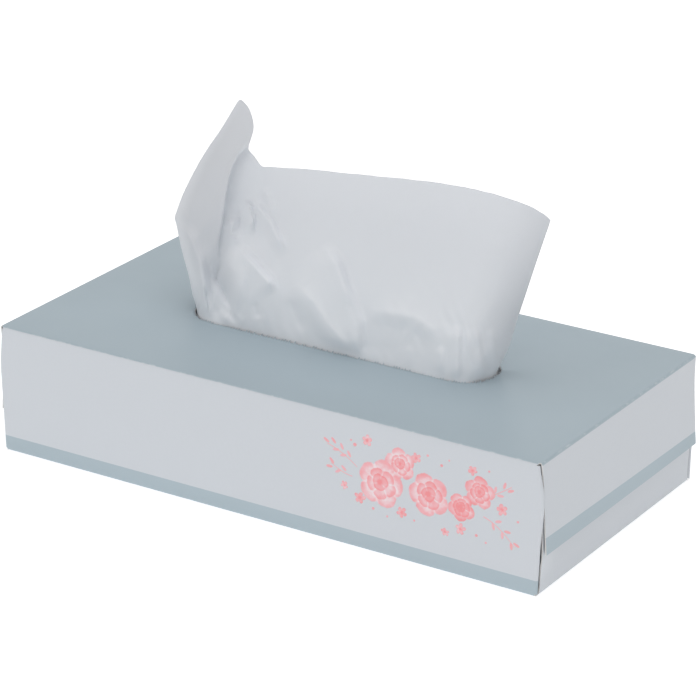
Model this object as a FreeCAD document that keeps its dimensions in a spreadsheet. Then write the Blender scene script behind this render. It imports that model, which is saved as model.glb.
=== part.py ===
import FreeCAD, Part
import math
import os
import Sketcher

# Flat tissue box: a folded paperboard carton with an oval dispensing slot in
# its top, the interfolded stack that fills it, and the top sheet pulled up
# through the slot.
# Frame: origin at the centre of the underside, +X along the box, +Y across it
# (the printed front panel faces -Y), +Z up. Millimetres.

V = FreeCAD.Vector
doc = FreeCAD.newDocument("TissueBox")

# ----------------------------------------------------------------------------
# Driving dimensions
# ----------------------------------------------------------------------------
sheet = doc.addObject("Spreadsheet::Sheet", "Dims")
ROWS = [
    ("box_length", 230.0, "outside, between the end folds of the top panel"),
    ("box_width", 115.5, "outside, front to back"),
    ("box_height", 50.0, "outside"),
    ("board", 0.45, "paperboard thickness"),
    ("fold", 0.9, "outside radius of every fold"),
    ("ply_gap", 0.1, "air between two layers of board"),
    ("raw_edge", 0.3, "height of the back panel's cut edge"),
    ("seam_tab", 16.0, "height of the seam tab inside the back panel"),
    ("seam_half", 107.0, "half length of the seam tab"),
    ("seam_glue_low", 4.0, "lower side of the seam's glue line"),
    ("seam_glue_high", 11.0, "upper side of the seam's glue line"),
    ("slot_length", 129.0, "dispensing slot, end to end"),
    ("slot_width", 26.0, "dispensing slot, across"),
    ("nick_depth", 0.45, "torn perforation nicks along the slot"),
    ("nick_width", 0.9, "width of one nick"),
    ("nick_span", 92.0, "first nick to last nick"),
    ("nick_count", 24, "nicks on each long side"),
    ("flap_side_gap", 1.8, "top end flap, side edge to box side"),
    ("flap_low", 15.7, "height of the top end flap's lower edge"),
    ("flap_lean", 2.2, "how far the top end flap springs out at that edge"),
    ("under_flap_top", 45.0, "upper edge of the bottom end flap"),
    ("under_flap_side", 2.2, "bottom end flap, side edge to box side"),
    ("dust_flap", 43.0, "reach of a side dust flap"),
    ("dust_clear", 1.3, "dust flap, edge to top or bottom panel"),
    ("spot_width", 14.0, "hot-melt spot on an end, across"),
    ("spot_low", 38.5, "hot-melt spot, lower side"),
    ("spot_high", 43.0, "hot-melt spot, upper side"),
    ("spot_place", 40.0, "hot-melt spot, centre from the middle"),
    ("stack_length", 206.0, "interfolded stack, along X"),
    ("stack_depth", 104.0, "interfolded stack, across"),
    ("stack_height", 43.0, "interfolded stack"),
    ("stack_fold", 5.0, "rounding of the stack's folded long sides"),
    ("rest_gap", 0.0, "stack sits on the bottom panel"),
    ("tissue_wall", 0.6, "raised sheet, both plies with their crepe"),
    ("foot_depth", 46.0, "part of the raised sheet still lying on the stack"),
    ("foot_half", 84.0, "half length of that part"),
    ("foot_thick", 0.7, "its thickness, a little more than the ply itself"),
    ("neck_level", 50.0, "section of the raised sheet at the slot"),
    ("mid_level", 80.0, "section of the raised sheet half way up"),
    ("upper_level", 110.0, "section of the raised sheet below its edge"),
    ("tip_level", 138.0, "section of the raised sheet above its tip"),
]
for i, (name, value, what) in enumerate(ROWS, start=1):
    sheet.set("A%d" % i, name)
    sheet.set("B%d" % i, repr(value))
    sheet.set("C%d" % i, what)
    sheet.setAlias("B%d" % i, name)
doc.recompute()


def dim(name):
    return float(getattr(sheet, name))


L2 = dim("box_length") / 2
W2 = dim("box_width") / 2
H = dim("box_height")
T = dim("board")
RO = dim("fold")
RI = RO - T
G = dim("ply_gap")


# ----------------------------------------------------------------------------
# Helpers
# ----------------------------------------------------------------------------
def origin_feature(body, role):
    for f in body.Origin.OriginFeatures:
        if f.Role == role:
            return f
    raise RuntimeError(role)


def new_body(label):
    b = doc.addObject("PartDesign::Body", label)
    b.Label = label
    return b


def new_sketch(body, name, role, offset=None):
    s = body.newObject("Sketcher::SketchObject", name)
    s.AttachmentSupport = [(origin_feature(body, role), "")]
    s.MapMode = "FlatFace"
    if offset is not None:
        s.setExpression("AttachmentOffset.Base.z", offset)
    return s


def add_path(s, items):
    """items: ('l', (x0,y0), (x1,y1)) or ('a', centre, radius, a0, a1) with the
    angles in degrees, anticlockwise from a0 to a1; consecutive ends meet."""
    ids = []
    for it in items:
        if it[0] == "l":
            g = Part.LineSegment(V(it[1][0], it[1][1], 0), V(it[2][0], it[2][1], 0))
        else:
            c = Part.Circle(V(it[1][0], it[1][1], 0), V(0, 0, 1), it[2])
            g = Part.ArcOfCircle(c, math.radians(it[3]), math.radians(it[4]))
        ids.append(s.addGeometry(g, False))
    return ids


def name_dim(s, constraint, expr, name):
    """Add a named dimension bound to the sheet, unless the others imply it."""
    c = s.addConstraint(constraint)
    if s.solve() != 0:
        s.delConstraint(c)
        s.solve()
        return None
    s.renameConstraint(c, name)
    s.setExpression("Constraints." + name, expr)
    return c


def weld(s, ids, closed=True):
    """Coincident constraints between the touching ends of consecutive edges."""
    n = len(ids)
    for k in range(n if closed else n - 1):
        a, b = ids[k], ids[(k + 1) % n]
        best = None
        for pa in (1, 2):
            for pb in (1, 2):
                d = (s.getPoint(a, pa) - s.getPoint(b, pb)).Length
                if best is None or d < best[0]:
                    best = (d, pa, pb)
        if best[0] > 1e-4:
            raise RuntimeError("open profile %s at %d: %g" % (s.Name, k, best[0]))
        s.addConstraint(Sketcher.Constraint("Coincident", a, best[1], b, best[2]))


def relate(s, constraint):
    """Add a geometric constraint unless the sketch already implies it."""
    k = s.addConstraint(constraint)
    if s.solve() != 0:
        s.delConstraint(k)
        s.solve()


def settle(s, ids):
    """Horizontal and vertical lines, and lines tangent to their arcs."""
    for g in ids:
        geo = s.Geometry[g]
        if isinstance(geo, Part.LineSegment):
            d = geo.EndPoint - geo.StartPoint
            if abs(d.x) < 1e-7:
                relate(s, Sketcher.Constraint("Vertical", g))
            elif abs(d.y) < 1e-7:
                relate(s, Sketcher.Constraint("Horizontal", g))
    for k, a in enumerate(ids):
        b = ids[(k + 1) % len(ids)]
        kinds = {type(s.Geometry[a]).__name__, type(s.Geometry[b]).__name__}
        if kinds == {"LineSegment", "ArcOfCircle"}:
            relate(s, Sketcher.Constraint("Tangent", a, b))


def pad(body, name, profile, length, symmetric=False, reverse=False):
    p = body.newObject("PartDesign::Pad", name)
    p.Profile = profile
    p.setExpression("Length", length)
    if symmetric:
        p.SideType = "Symmetric"
    p.Reversed = reverse
    profile.Visibility = False
    return p


def volume(obj):
    doc.recompute()
    return obj.Shape.Volume


# ----------------------------------------------------------------------------
# 1. Carton: one sheet of board, folded and glued
# ----------------------------------------------------------------------------
carton = new_body("carton")

xe_top = L2                       # outer face of the top end flap at its fold
xe_low = L2 - T - G               # outer face of the bottom end flap
xe_dust = L2 - 2 * (T + G)        # outer face of the dust flaps
x_tube = xe_dust - RO             # the four panels run to here
y_tab = W2 - T - G                # outer face of the seam tab

TUBE = "2 * (Dims.box_length / 2 - 2 * (Dims.board + Dims.ply_gap) - Dims.fold)"

# Back, top, front and bottom panel as one strip, seen along X.
s = new_sketch(carton, "PanelStrip", "YZ_Plane")
z0 = dim("raw_edge")
yb = y_tab - RO
loop = [
    ("l", (W2, z0), (W2, H - RO)),
    ("a", (W2 - RO, H - RO), RO, 0, 90),
    ("l", (W2 - RO, H), (-W2 + RO, H)),
    ("a", (-W2 + RO, H - RO), RO, 90, 180),
    ("l", (-W2, H - RO), (-W2, RO)),
    ("a", (-W2 + RO, RO), RO, 180, 270),
    ("l", (-W2 + RO, 0), (yb, 0)),
    ("l", (yb, 0), (yb, T)),
    ("l", (yb, T), (-W2 + RO, T)),
    ("a", (-W2 + RO, RO), RI, 180, 270),
    ("l", (-W2 + T, RO), (-W2 + T, H - RO)),
    ("a", (-W2 + RO, H - RO), RI, 90, 180),
    ("l", (-W2 + RO, H - T), (W2 - RO, H - T)),
    ("a", (W2 - RO, H - RO), RI, 0, 90),
    ("l", (W2 - T, H - RO), (W2 - T, z0)),
    ("l", (W2 - T, z0), (W2, z0)),
]
ids = add_path(s, loop)
weld(s, ids)
settle(s, ids)
for outer, inner in ((1, 13), (3, 11), (5, 9)):
    relate(s, Sketcher.Constraint("Coincident", ids[outer], 3, ids[inner], 3))
    name_dim(s, Sketcher.Constraint("Radius", ids[outer], RO), "Dims.fold", "fold_out_%d" % outer)
    name_dim(s, Sketcher.Constraint("Radius", ids[inner], RI), "Dims.fold - Dims.board", "fold_in_%d" % inner)
name_dim(s, Sketcher.Constraint("DistanceX", -1, 1, ids[0], 1, W2), "Dims.box_width / 2", "back_face")
name_dim(s, Sketcher.Constraint("DistanceY", -1, 1, ids[0], 1, z0), "Dims.raw_edge", "raw_edge")
name_dim(s, Sketcher.Constraint("DistanceX", ids[4], 1, -1, 1, W2), "Dims.box_width / 2", "front_face")
name_dim(s, Sketcher.Constraint("DistanceY", -1, 1, ids[2], 1, H), "Dims.box_height", "top_face")
name_dim(s, Sketcher.Constraint("DistanceX", -1, 1, ids[7], 1, yb),
         "Dims.box_width / 2 - Dims.board - Dims.ply_gap - Dims.fold", "bottom_end")
p_panels = pad(carton, "Panels", s, TUBE, symmetric=True)
doc.recompute()

# Seam tab: the bottom panel's back edge, folded up inside the back panel.
s = new_sketch(carton, "SeamTabStrip", "YZ_Plane")
zt = dim("seam_tab")
loop = [
    ("l", (yb - 2.0, 0), (yb, 0)),
    ("a", (yb, RO), RO, 270, 360),
    ("l", (y_tab, RO), (y_tab, zt)),
    ("l", (y_tab, zt), (y_tab - T, zt)),
    ("l", (y_tab - T, zt), (y_tab - T, RO)),
    ("a", (yb, RO), RI, 270, 360),
    ("l", (yb, T), (yb - 2.0, T)),
    ("l", (yb - 2.0, T), (yb - 2.0, 0)),
]
ids = add_path(s, loop)
weld(s, ids)
settle(s, ids)
relate(s, Sketcher.Constraint("Coincident", ids[1], 3, ids[5], 3))
name_dim(s, Sketcher.Constraint("Radius", ids[1], RO), "Dims.fold", "fold_out")
name_dim(s, Sketcher.Constraint("Radius", ids[5], RI), "Dims.fold - Dims.board", "fold_in")
name_dim(s, Sketcher.Constraint("DistanceX", -1, 1, ids[2], 1, y_tab),
         "Dims.box_width / 2 - Dims.board - Dims.ply_gap", "tab_face")
name_dim(s, Sketcher.Constraint("DistanceY", -1, 1, ids[2], 2, zt), "Dims.seam_tab", "tab_top")
relate(s, Sketcher.Constraint("PointOnObject", ids[0], 1, -1))
name_dim(s, Sketcher.Constraint("DistanceX", ids[0], 1, ids[1], 3, 2.0), "2", "lap")
pad(carton, "SeamTab", s, "2 * Dims.seam_half", symmetric=True)

# Glue line that holds the tab to the back panel.
s = new_sketch(carton, "SeamGlueLine", "YZ_Plane")
g0, g1 = dim("seam_glue_low"), dim("seam_glue_high")
ya, yc = y_tab - 0.1, W2 - T + 0.1
ids = add_path(s, [("l", (ya, g0), (yc, g0)), ("l", (yc, g0), (yc, g1)),
                   ("l", (yc, g1), (ya, g1)), ("l", (ya, g1), (ya, g0))])
weld(s, ids)
settle(s, ids)
name_dim(s, Sketcher.Constraint("DistanceX", -1, 1, ids[0], 1, ya),
         "Dims.box_width / 2 - Dims.board - Dims.ply_gap - 0.1", "inner")
name_dim(s, Sketcher.Constraint("DistanceX", -1, 1, ids[0], 2, yc),
         "Dims.box_width / 2 - Dims.board + 0.1", "outer")
name_dim(s, Sketcher.Constraint("DistanceY", -1, 1, ids[0], 1, g0), "Dims.seam_glue_low", "low")
name_dim(s, Sketcher.Constraint("DistanceY", -1, 1, ids[2], 1, g1), "Dims.seam_glue_high", "high")
pad(carton, "SeamGlue", s, "2 * Dims.seam_half - 8", symmetric=True)
doc.recompute()

# Dispensing slot: the perforated oval is torn out of the top panel.
s = new_sketch(carton, "SlotOval", "XY_Plane", "Dims.box_height + 1")
sr = dim("slot_width") / 2
sc = dim("slot_length") / 2 - sr
ids = add_path(s, [("l", (-sc, -sr), (sc, -sr)), ("a", (sc, 0), sr, -90, 90),
                   ("l", (sc, sr), (-sc, sr)), ("a", (-sc, 0), sr, 90, 270)])
weld(s, ids)
settle(s, ids)
relate(s, Sketcher.Constraint("PointOnObject", ids[1], 3, -1))
relate(s, Sketcher.Constraint("PointOnObject", ids[3], 3, -1))
relate(s, Sketcher.Constraint("Tangent", ids[0], ids[1]))
relate(s, Sketcher.Constraint("Tangent", ids[2], ids[1]))
relate(s, Sketcher.Constraint("Tangent", ids[0], ids[3]))
name_dim(s, Sketcher.Constraint("Radius", ids[1], sr), "Dims.slot_width / 2", "end_radius")
name_dim(s, Sketcher.Constraint("DistanceX", -1, 1, ids[1], 3, sc),
         "Dims.slot_length / 2 - Dims.slot_width / 2", "half_straight")
name_dim(s, Sketcher.Constraint("DistanceX", ids[3], 3, -1, 1, sc),
         "Dims.slot_length / 2 - Dims.slot_width / 2", "half_straight_b")
before = volume(carton)
slot = carton.newObject("PartDesign::Pocket", "DispensingSlot")
slot.Profile = s
slot.setExpression("Length", "1 + Dims.board + 0.5")
s.Visibility = False
if before - volume(carton) < 100:
    slot.Reversed = not slot.Reversed
cut = before - volume(carton)
want = (2 * sc * 2 * sr + math.pi * sr * sr) * T
if abs(cut - want) > 0.02 * want:
    raise RuntimeError("slot cut %g, wanted %g" % (cut, want))

# Torn perforation: a row of nicks along each long side of the slot.
s = new_sketch(carton, "NickPair", "XY_Plane", "Dims.box_height + 1")
nd, nw, ns = dim("nick_depth"), dim("nick_width"), dim("nick_span")
ids = []
for sign in (-1, 1):
    ya, yc = sign * (sr - 0.2), sign * (sr + nd)
    q = add_path(s, [("l", (-ns / 2 - nw / 2, ya), (-ns / 2 + nw / 2, ya)),
                     ("l", (-ns / 2 + nw / 2, ya), (-ns / 2 + nw / 2, yc)),
                     ("l", (-ns / 2 + nw / 2, yc), (-ns / 2 - nw / 2, yc)),
                     ("l", (-ns / 2 - nw / 2, yc), (-ns / 2 - nw / 2, ya))])
    weld(s, q)
    settle(s, q)
    tag = "front" if sign < 0 else "back"
    name_dim(s, Sketcher.Constraint("DistanceX", q[0], 1, -1, 1, ns / 2 + nw / 2),
             "Dims.nick_span / 2 + Dims.nick_width / 2", tag + "_place")
    name_dim(s, Sketcher.Constraint("DistanceX", q[0], 1, q[0], 2, nw), "Dims.nick_width", tag + "_width")
    if sign < 0:
        name_dim(s, Sketcher.Constraint("DistanceY", q[2], 1, -1, 1, sr + nd),
                 "Dims.slot_width / 2 + Dims.nick_depth", tag + "_far")
        name_dim(s, Sketcher.Constraint("DistanceY", q[0], 1, -1, 1, sr - 0.2),
                 "Dims.slot_width / 2 - 0.2", tag + "_near")
    else:
        name_dim(s, Sketcher.Constraint("DistanceY", -1, 1, q[2], 1, sr + nd),
                 "Dims.slot_width / 2 + Dims.nick_depth", tag + "_far")
        name_dim(s, Sketcher.Constraint("DistanceY", -1, 1, q[0], 1, sr - 0.2),
                 "Dims.slot_width / 2 - 0.2", tag + "_near")
before = volume(carton)
nick = carton.newObject("PartDesign::Pocket", "Nick")
nick.Profile = s
nick.setExpression("Length", "1 + Dims.board + 0.5")
nick.Reversed = slot.Reversed
s.Visibility = False
doc.recompute()
row = carton.newObject("PartDesign::LinearPattern", "NickRow")
row.Originals = [nick]
row.Direction = (s, ["H_Axis"])
row.setExpression("Length", "Dims.nick_span")
row.setExpression("Occurrences", "Dims.nick_count")
carton.Tip = row
nicks = before - volume(carton)
if nicks < 0.8 * 2 * dim("nick_count") * nd * nw * T:
    raise RuntimeError("nicks cut only %g" % nicks)

# Right end, from the inside out: dust flaps, bottom flap, top flap.
s = new_sketch(carton, "DustFlapStrips", "XY_Plane", "Dims.dust_clear")
xd, cx, reach = xe_dust, x_tube, dim("dust_flap")
dust_items = []
for sign in (-1, 1):
    yo, yi = sign * W2, sign * (W2 - T)
    a0, a1 = (270, 360) if sign < 0 else (0, 90)
    cy = sign * (W2 - RO)
    ye = sign * (W2 - reach)
    q = add_path(s, [
        ("l", (cx - 2, yo), (cx, yo)),
        ("a", (cx, cy), RO, a0, a1),
        ("l", (xd, cy), (xd, ye)),
        ("l", (xd, ye), (xd - T, ye)),
        ("l", (xd - T, ye), (xd - T, cy)),
        ("a", (cx, cy), RI, a0, a1),
        ("l", (cx, yi), (cx - 2, yi)),
        ("l", (cx - 2, yi), (cx - 2, yo)),
    ])
    weld(s, q)
    settle(s, q)
    tag = "front" if sign < 0 else "back"
    relate(s, Sketcher.Constraint("Coincident", q[1], 3, q[5], 3))
    name_dim(s, Sketcher.Constraint("Radius", q[1], RO), "Dims.fold", tag + "_out")
    name_dim(s, Sketcher.Constraint("Radius", q[5], RI), "Dims.fold - Dims.board", tag + "_in")
    name_dim(s, Sketcher.Constraint("DistanceX", -1, 1, q[2], 1, xd),
             "Dims.box_length / 2 - 2 * (Dims.board + Dims.ply_gap)", tag + "_face")
    name_dim(s, Sketcher.Constraint("DistanceX", q[0], 1, q[1], 3, 2.0), "2", tag + "_lap")
    if sign < 0:
        name_dim(s, Sketcher.Constraint("DistanceY", q[0], 1, -1, 1, W2), "Dims.box_width / 2", tag + "_side")
        name_dim(s, Sketcher.Constraint("DistanceY", q[2], 2, -1, 1, W2 - reach),
                 "Dims.box_width / 2 - Dims.dust_flap", tag + "_reach")
    else:
        name_dim(s, Sketcher.Constraint("DistanceY", -1, 1, q[0], 1, W2), "Dims.box_width / 2", tag + "_side")
        name_dim(s, Sketcher.Constraint("DistanceY", -1, 1, q[2], 2, W2 - reach),
                 "Dims.box_width / 2 - Dims.dust_flap", tag + "_reach")
dust = pad(carton, "DustFlaps", s, "Dims.box_height - 2 * Dims.dust_clear")
doc.recompute()

s = new_sketch(carton, "BottomFlapStrip", "XZ_Plane")
xb = xe_low
zb = dim("under_flap_top")
loop = [
    ("l", (x_tube - 2, 0), (xb - RO, 0)),
    ("a", (xb - RO, RO), RO, 270, 360),
    ("l", (xb, RO), (xb, zb)),
    ("l", (xb, zb), (xb - T, zb)),
    ("l", (xb - T, zb), (xb - T, RO)),
    ("a", (xb - RO, RO), RI, 270, 360),
    ("l", (xb - RO, T), (x_tube - 2, T)),
    ("l", (x_tube - 2, T), (x_tube - 2, 0)),
]
ids = add_path(s, loop)
weld(s, ids)
settle(s, ids)
relate(s, Sketcher.Constraint("Coincident", ids[1], 3, ids[5], 3))
relate(s, Sketcher.Constraint("PointOnObject", ids[0], 1, -1))
name_dim(s, Sketcher.Constraint("Radius", ids[1], RO), "Dims.fold", "fold_out")
name_dim(s, Sketcher.Constraint("Radius", ids[5], RI), "Dims.fold - Dims.board", "fold_in")
name_dim(s, Sketcher.Constraint("DistanceX", -1, 1, ids[2], 1, xb),
         "Dims.box_length / 2 - Dims.board - Dims.ply_gap", "flap_face")
name_dim(s, Sketcher.Constraint("DistanceY", -1, 1, ids[2], 2, zb), "Dims.under_flap_top", "flap_top")
name_dim(s, Sketcher.Constraint("DistanceX", -1, 1, ids[0], 1, x_tube - 2),
         "Dims.box_length / 2 - 2 * (Dims.board + Dims.ply_gap) - Dims.fold - 2", "lap")
under = pad(carton, "BottomFlap", s, "Dims.box_width - 2 * Dims.under_flap_side", symmetric=True)
doc.recompute()

s = new_sketch(carton, "TopFlapStrip", "XZ_Plane")
zc = H - RO
zf = dim("flap_low")
lean = math.atan2(dim("flap_lean"), zc - zf)
cl, sl = math.cos(lean), math.sin(lean)
cxt = L2 - RO
o1 = (cxt + RO * cl, zc + RO * sl)
i1 = (cxt + RI * cl, zc + RI * sl)
run = (o1[1] - zf) / cl
o2 = (o1[0] + run * sl, o1[1] - run * cl)
i2 = (i1[0] + run * sl, i1[1] - run * cl)
ld = math.degrees(lean)
loop = [
    ("l", (x_tube - 2, H), (cxt, H)),
    ("a", (cxt, zc), RO, ld, 90),
    ("l", o1, o2),
    ("l", o2, i2),
    ("l", i2, i1),
    ("a", (cxt, zc), RI, ld, 90),
    ("l", (cxt, H - T), (x_tube - 2, H - T)),
    ("l", (x_tube - 2, H - T), (x_tube - 2, H)),
]
ids = add_path(s, loop)
weld(s, ids)
settle(s, ids)
relate(s, Sketcher.Constraint("Coincident", ids[1], 3, ids[5], 3))
name_dim(s, Sketcher.Constraint("Radius", ids[1], RO), "Dims.fold", "fold_out")
name_dim(s, Sketcher.Constraint("Radius", ids[5], RI), "Dims.fold - Dims.board", "fold_in")
name_dim(s, Sketcher.Constraint("DistanceX", -1, 1, ids[1], 3, cxt),
         "Dims.box_length / 2 - Dims.fold", "fold_place")
name_dim(s, Sketcher.Constraint("DistanceY", -1, 1, ids[0], 1, H), "Dims.box_height", "top_face")
name_dim(s, Sketcher.Constraint("DistanceX", -1, 1, ids[0], 1, x_tube - 2),
         "Dims.box_length / 2 - 2 * (Dims.board + Dims.ply_gap) - Dims.fold - 2", "lap")
name_dim(s, Sketcher.Constraint("DistanceY", -1, 1, ids[2], 2, zf), "Dims.flap_low", "flap_low")
relate(s, Sketcher.Constraint("Perpendicular", ids[2], ids[3]))
relate(s, Sketcher.Constraint("Tangent", ids[2], ids[1]))
over = pad(carton, "TopFlap", s, "Dims.box_width - 2 * Dims.flap_side_gap", symmetric=True)
doc.recompute()

# Two hot-melt spots through the three layers of the end.
s = new_sketch(carton, "EndGlueSpots", "YZ_Plane", "Dims.box_length / 2 - 2 * (Dims.board + Dims.ply_gap) - 0.2")
sw, sp = dim("spot_width"), dim("spot_place")
h0, h1 = dim("spot_low"), dim("spot_high")
for sign in (-1, 1):
    ya, yc = sign * sp - sw / 2, sign * sp + sw / 2
    q = add_path(s, [("l", (ya, h0), (yc, h0)), ("l", (yc, h0), (yc, h1)),
                     ("l", (yc, h1), (ya, h1)), ("l", (ya, h1), (ya, h0))])
    weld(s, q)
    settle(s, q)
    tag = "front" if sign < 0 else "back"
    name_dim(s, Sketcher.Constraint("DistanceX", q[0], 1, q[0], 2, sw), "Dims.spot_width", tag + "_width")
    name_dim(s, Sketcher.Constraint("DistanceY", -1, 1, q[0], 1, h0), "Dims.spot_low", tag + "_low")
    name_dim(s, Sketcher.Constraint("DistanceY", -1, 1, q[2], 1, h1), "Dims.spot_high", tag + "_high")
    if sign < 0:
        name_dim(s, Sketcher.Constraint("DistanceX", q[0], 1, -1, 1, sp + sw / 2),
                 "Dims.spot_place + Dims.spot_width / 2", tag + "_place")
    else:
        name_dim(s, Sketcher.Constraint("DistanceX", -1, 1, q[0], 2, sp + sw / 2),
                 "Dims.spot_place + Dims.spot_width / 2", tag + "_place")
spots = pad(carton, "EndGlue", s, "0.2 + 2 * (Dims.board + Dims.ply_gap) + 0.22")
doc.recompute()

# The left end is the right end's mirror image.
ends = carton.newObject("PartDesign::Mirrored", "OtherEnd")
ends.Originals = [dust, under, over, spots]
ends.MirrorPlane = (origin_feature(carton, "YZ_Plane"), [""])
carton.Tip = ends
doc.recompute()

# ----------------------------------------------------------------------------
# 2. Stack of interfolded sheets: a block with soft folded long sides
# ----------------------------------------------------------------------------
stack = new_body("tissue_stack")
s = new_sketch(stack, "StackSection", "YZ_Plane")
sd, sh, sf = dim("stack_depth") / 2, dim("stack_height"), dim("stack_fold")
zs = T + dim("rest_gap")
ids = add_path(s, [
    ("l", (-sd + sf, zs), (sd - sf, zs)),
    ("a", (sd - sf, zs + sf), sf, 270, 360),
    ("l", (sd, zs + sf), (sd, zs + sh - sf)),
    ("a", (sd - sf, zs + sh - sf), sf, 0, 90),
    ("l", (sd - sf, zs + sh), (-sd + sf, zs + sh)),
    ("a", (-sd + sf, zs + sh - sf), sf, 90, 180),
    ("l", (-sd, zs + sh - sf), (-sd, zs + sf)),
    ("a", (-sd + sf, zs + sf), sf, 180, 270),
])
weld(s, ids)
settle(s, ids)
for k in (1, 3, 5, 7):
    name_dim(s, Sketcher.Constraint("Radius", ids[k], sf), "Dims.stack_fold", "round_%d" % k)
for a, b in ((0, 1), (2, 3), (4, 5), (6, 7)):
    relate(s, Sketcher.Constraint("Tangent", ids[a], ids[b]))
name_dim(s, Sketcher.Constraint("DistanceY", -1, 1, ids[0], 1, zs), "Dims.board + Dims.rest_gap", "base")
name_dim(s, Sketcher.Constraint("DistanceY", ids[0], 1, ids[4], 1, sh), "Dims.stack_height", "height")
name_dim(s, Sketcher.Constraint("DistanceX", -1, 1, ids[2], 1, sd), "Dims.stack_depth / 2", "back_side")
name_dim(s, Sketcher.Constraint("DistanceX", ids[6], 1, -1, 1, sd), "Dims.stack_depth / 2", "front_side")
pad(stack, "StackBlock", s, "Dims.stack_length", symmetric=True)
doc.recompute()
z_stack = zs + sh

# ----------------------------------------------------------------------------
# 3. Raised sheet: the top sheet, gathered through the slot and opening out
#    above it, with its other half still lying on the stack
# ----------------------------------------------------------------------------
raised = new_body("raised_tissue")
TW = dim("tissue_wall")

# Plan of the sheet's middle line at four heights, from the right cut edge
# along the slot's front side to the left fold and round it to the back.
PLAN = {
    "low": [(58.5, 8.2), (62.2, 0.5), (56.8, -9.6), (42.0, -12.0), (20.0, -12.1), (-3.5, -12.1),
            (-24.3, -12.0), (-36.0, -12.0), (-45.0, -12.0), (-53.3, -10.8), (-58.2, -8.9), (-62.0, -4.0),
            (-62.2, 2.0), (-57.5, 7.0), (-48.0, 8.8), (-34.0, 8.0)],
    "mid": [(73.0, 3.0), (71.5, -3.5), (63.5, -9.0), (46.6, -11.5), (23.5, -12.8), (2.0, -13.2),
            (-18.5, -12.0), (-34.7, -7.0), (-45.5, -12.5), (-56.3, -10.0), (-65.5, -6.5), (-72.6, -2.0),
            (-73.2, 3.5), (-65.5, 7.5), (-52.0, 8.0), (-36.0, 6.5)],
    "upper": [(83.6, 1.5), (78.0, -3.0), (67.5, -6.5), (49.5, -9.5), (28.0, -11.3), (5.0, -12.7),
              (-15.3, -12.0), (-31.5, -6.0), (-38.8, -12.3), (-48.5, -9.0), (-56.0, -5.5), (-61.6, -1.6),
              (-61.8, 3.5), (-56.0, 6.8), (-46.0, 7.0), (-34.0, 5.0)],
    "tip": [(93.0, 0.5), (86.0, -3.0), (72.0, -5.0), (53.5, -8.0), (33.0, -10.0), (8.0, -11.5),
            (-12.0, -11.0), (-26.0, -6.5), (-31.5, -9.5), (-35.5, -7.5), (-39.5, -5.0), (-42.4, -2.2),
            (-42.4, 1.2), (-39.8, 3.8), (-35.5, 4.0), (-30.0, 2.5)],
}


def side_curves(points):
    """The two faces of the sheet: the smooth middle line through the points,
    moved sideways by half the wall, with one common parameter."""
    n = len(points) - 1
    mid = Part.BSplineCurve()
    mid.interpolate(Points=[V(x, y, 0) for x, y in points], Parameters=[k / n for k in range(n + 1)])
    steps = 2 * n
    us = [k / steps for k in range(steps + 1)]
    front, back = [], []
    for u in us:
        p = mid.value(u)
        d = mid.tangent(u)[0]
        side = V(-d.y, d.x, 0) * (TW / 2)
        front.append(p + side)
        back.append(p - side)
    one = Part.BSplineCurve()
    one.interpolate(Points=front, Parameters=us)
    two = Part.BSplineCurve()
    two.interpolate(Points=back[::-1], Parameters=us)
    return one, two


def wall_sketch(name, key, level):
    s = new_sketch(raised, name, "XY_Plane", level)
    one, two = side_curves(PLAN[key])
    s.addGeometry(one, False)
    s.addGeometry(Part.LineSegment(one.EndPoint, two.StartPoint), False)
    s.addGeometry(two, False)
    s.addGeometry(Part.LineSegment(two.EndPoint, one.StartPoint), False)
    return s


s_foot = wall_sketch("WallAtStack", "low", "Dims.board + Dims.rest_gap + Dims.stack_height")
s_neck = wall_sketch("WallAtSlot", "low", "Dims.neck_level + 1")
s_mid = wall_sketch("WallHalfWay", "mid", "Dims.mid_level")
s_up = wall_sketch("WallUpper", "upper", "Dims.upper_level")
s_tip = wall_sketch("WallAtTip", "tip", "Dims.tip_level")
doc.recompute()
wall = raised.newObject("PartDesign::AdditiveLoft", "Wall")
wall.Profile = s_foot
wall.Sections = [s_neck, s_mid, s_up, s_tip]
wall.Ruled = True
for q in (s_foot, s_neck, s_mid, s_up, s_tip):
    q.Visibility = False
doc.recompute()

# The sheet's upper edge: level on the right, a dip, and the peak at the left.
s = new_sketch(raised, "UpperEdge", "XZ_Plane")
EDGE = [(-90.0, 150.0), (-90.0, 136.5), (-44.6, 136.5), (-42.0, 135.0), (-37.5, 128.0), (-36.5, 122.0), (-33.5, 116.5),
        (-30.5, 113.6), (-20.0, 115.6), (6.0, 118.8), (30.0, 120.6), (51.0, 121.4), (68.0, 120.2), (79.0, 117.2),
        (86.5, 113.0), (100.0, 104.0), (100.0, 150.0)]
ids = add_path(s, [("l", EDGE[k], EDGE[(k + 1) % len(EDGE)]) for k in range(len(EDGE))])
weld(s, ids)
before = volume(raised)
trim = raised.newObject("PartDesign::Pocket", "TrimUpperEdge")
trim.Profile = s
trim.Type = "ThroughAll"
trim.SideType = "Symmetric"
s.Visibility = False
if before - volume(raised) < 300:
    raise RuntimeError("upper edge not trimmed")

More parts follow.
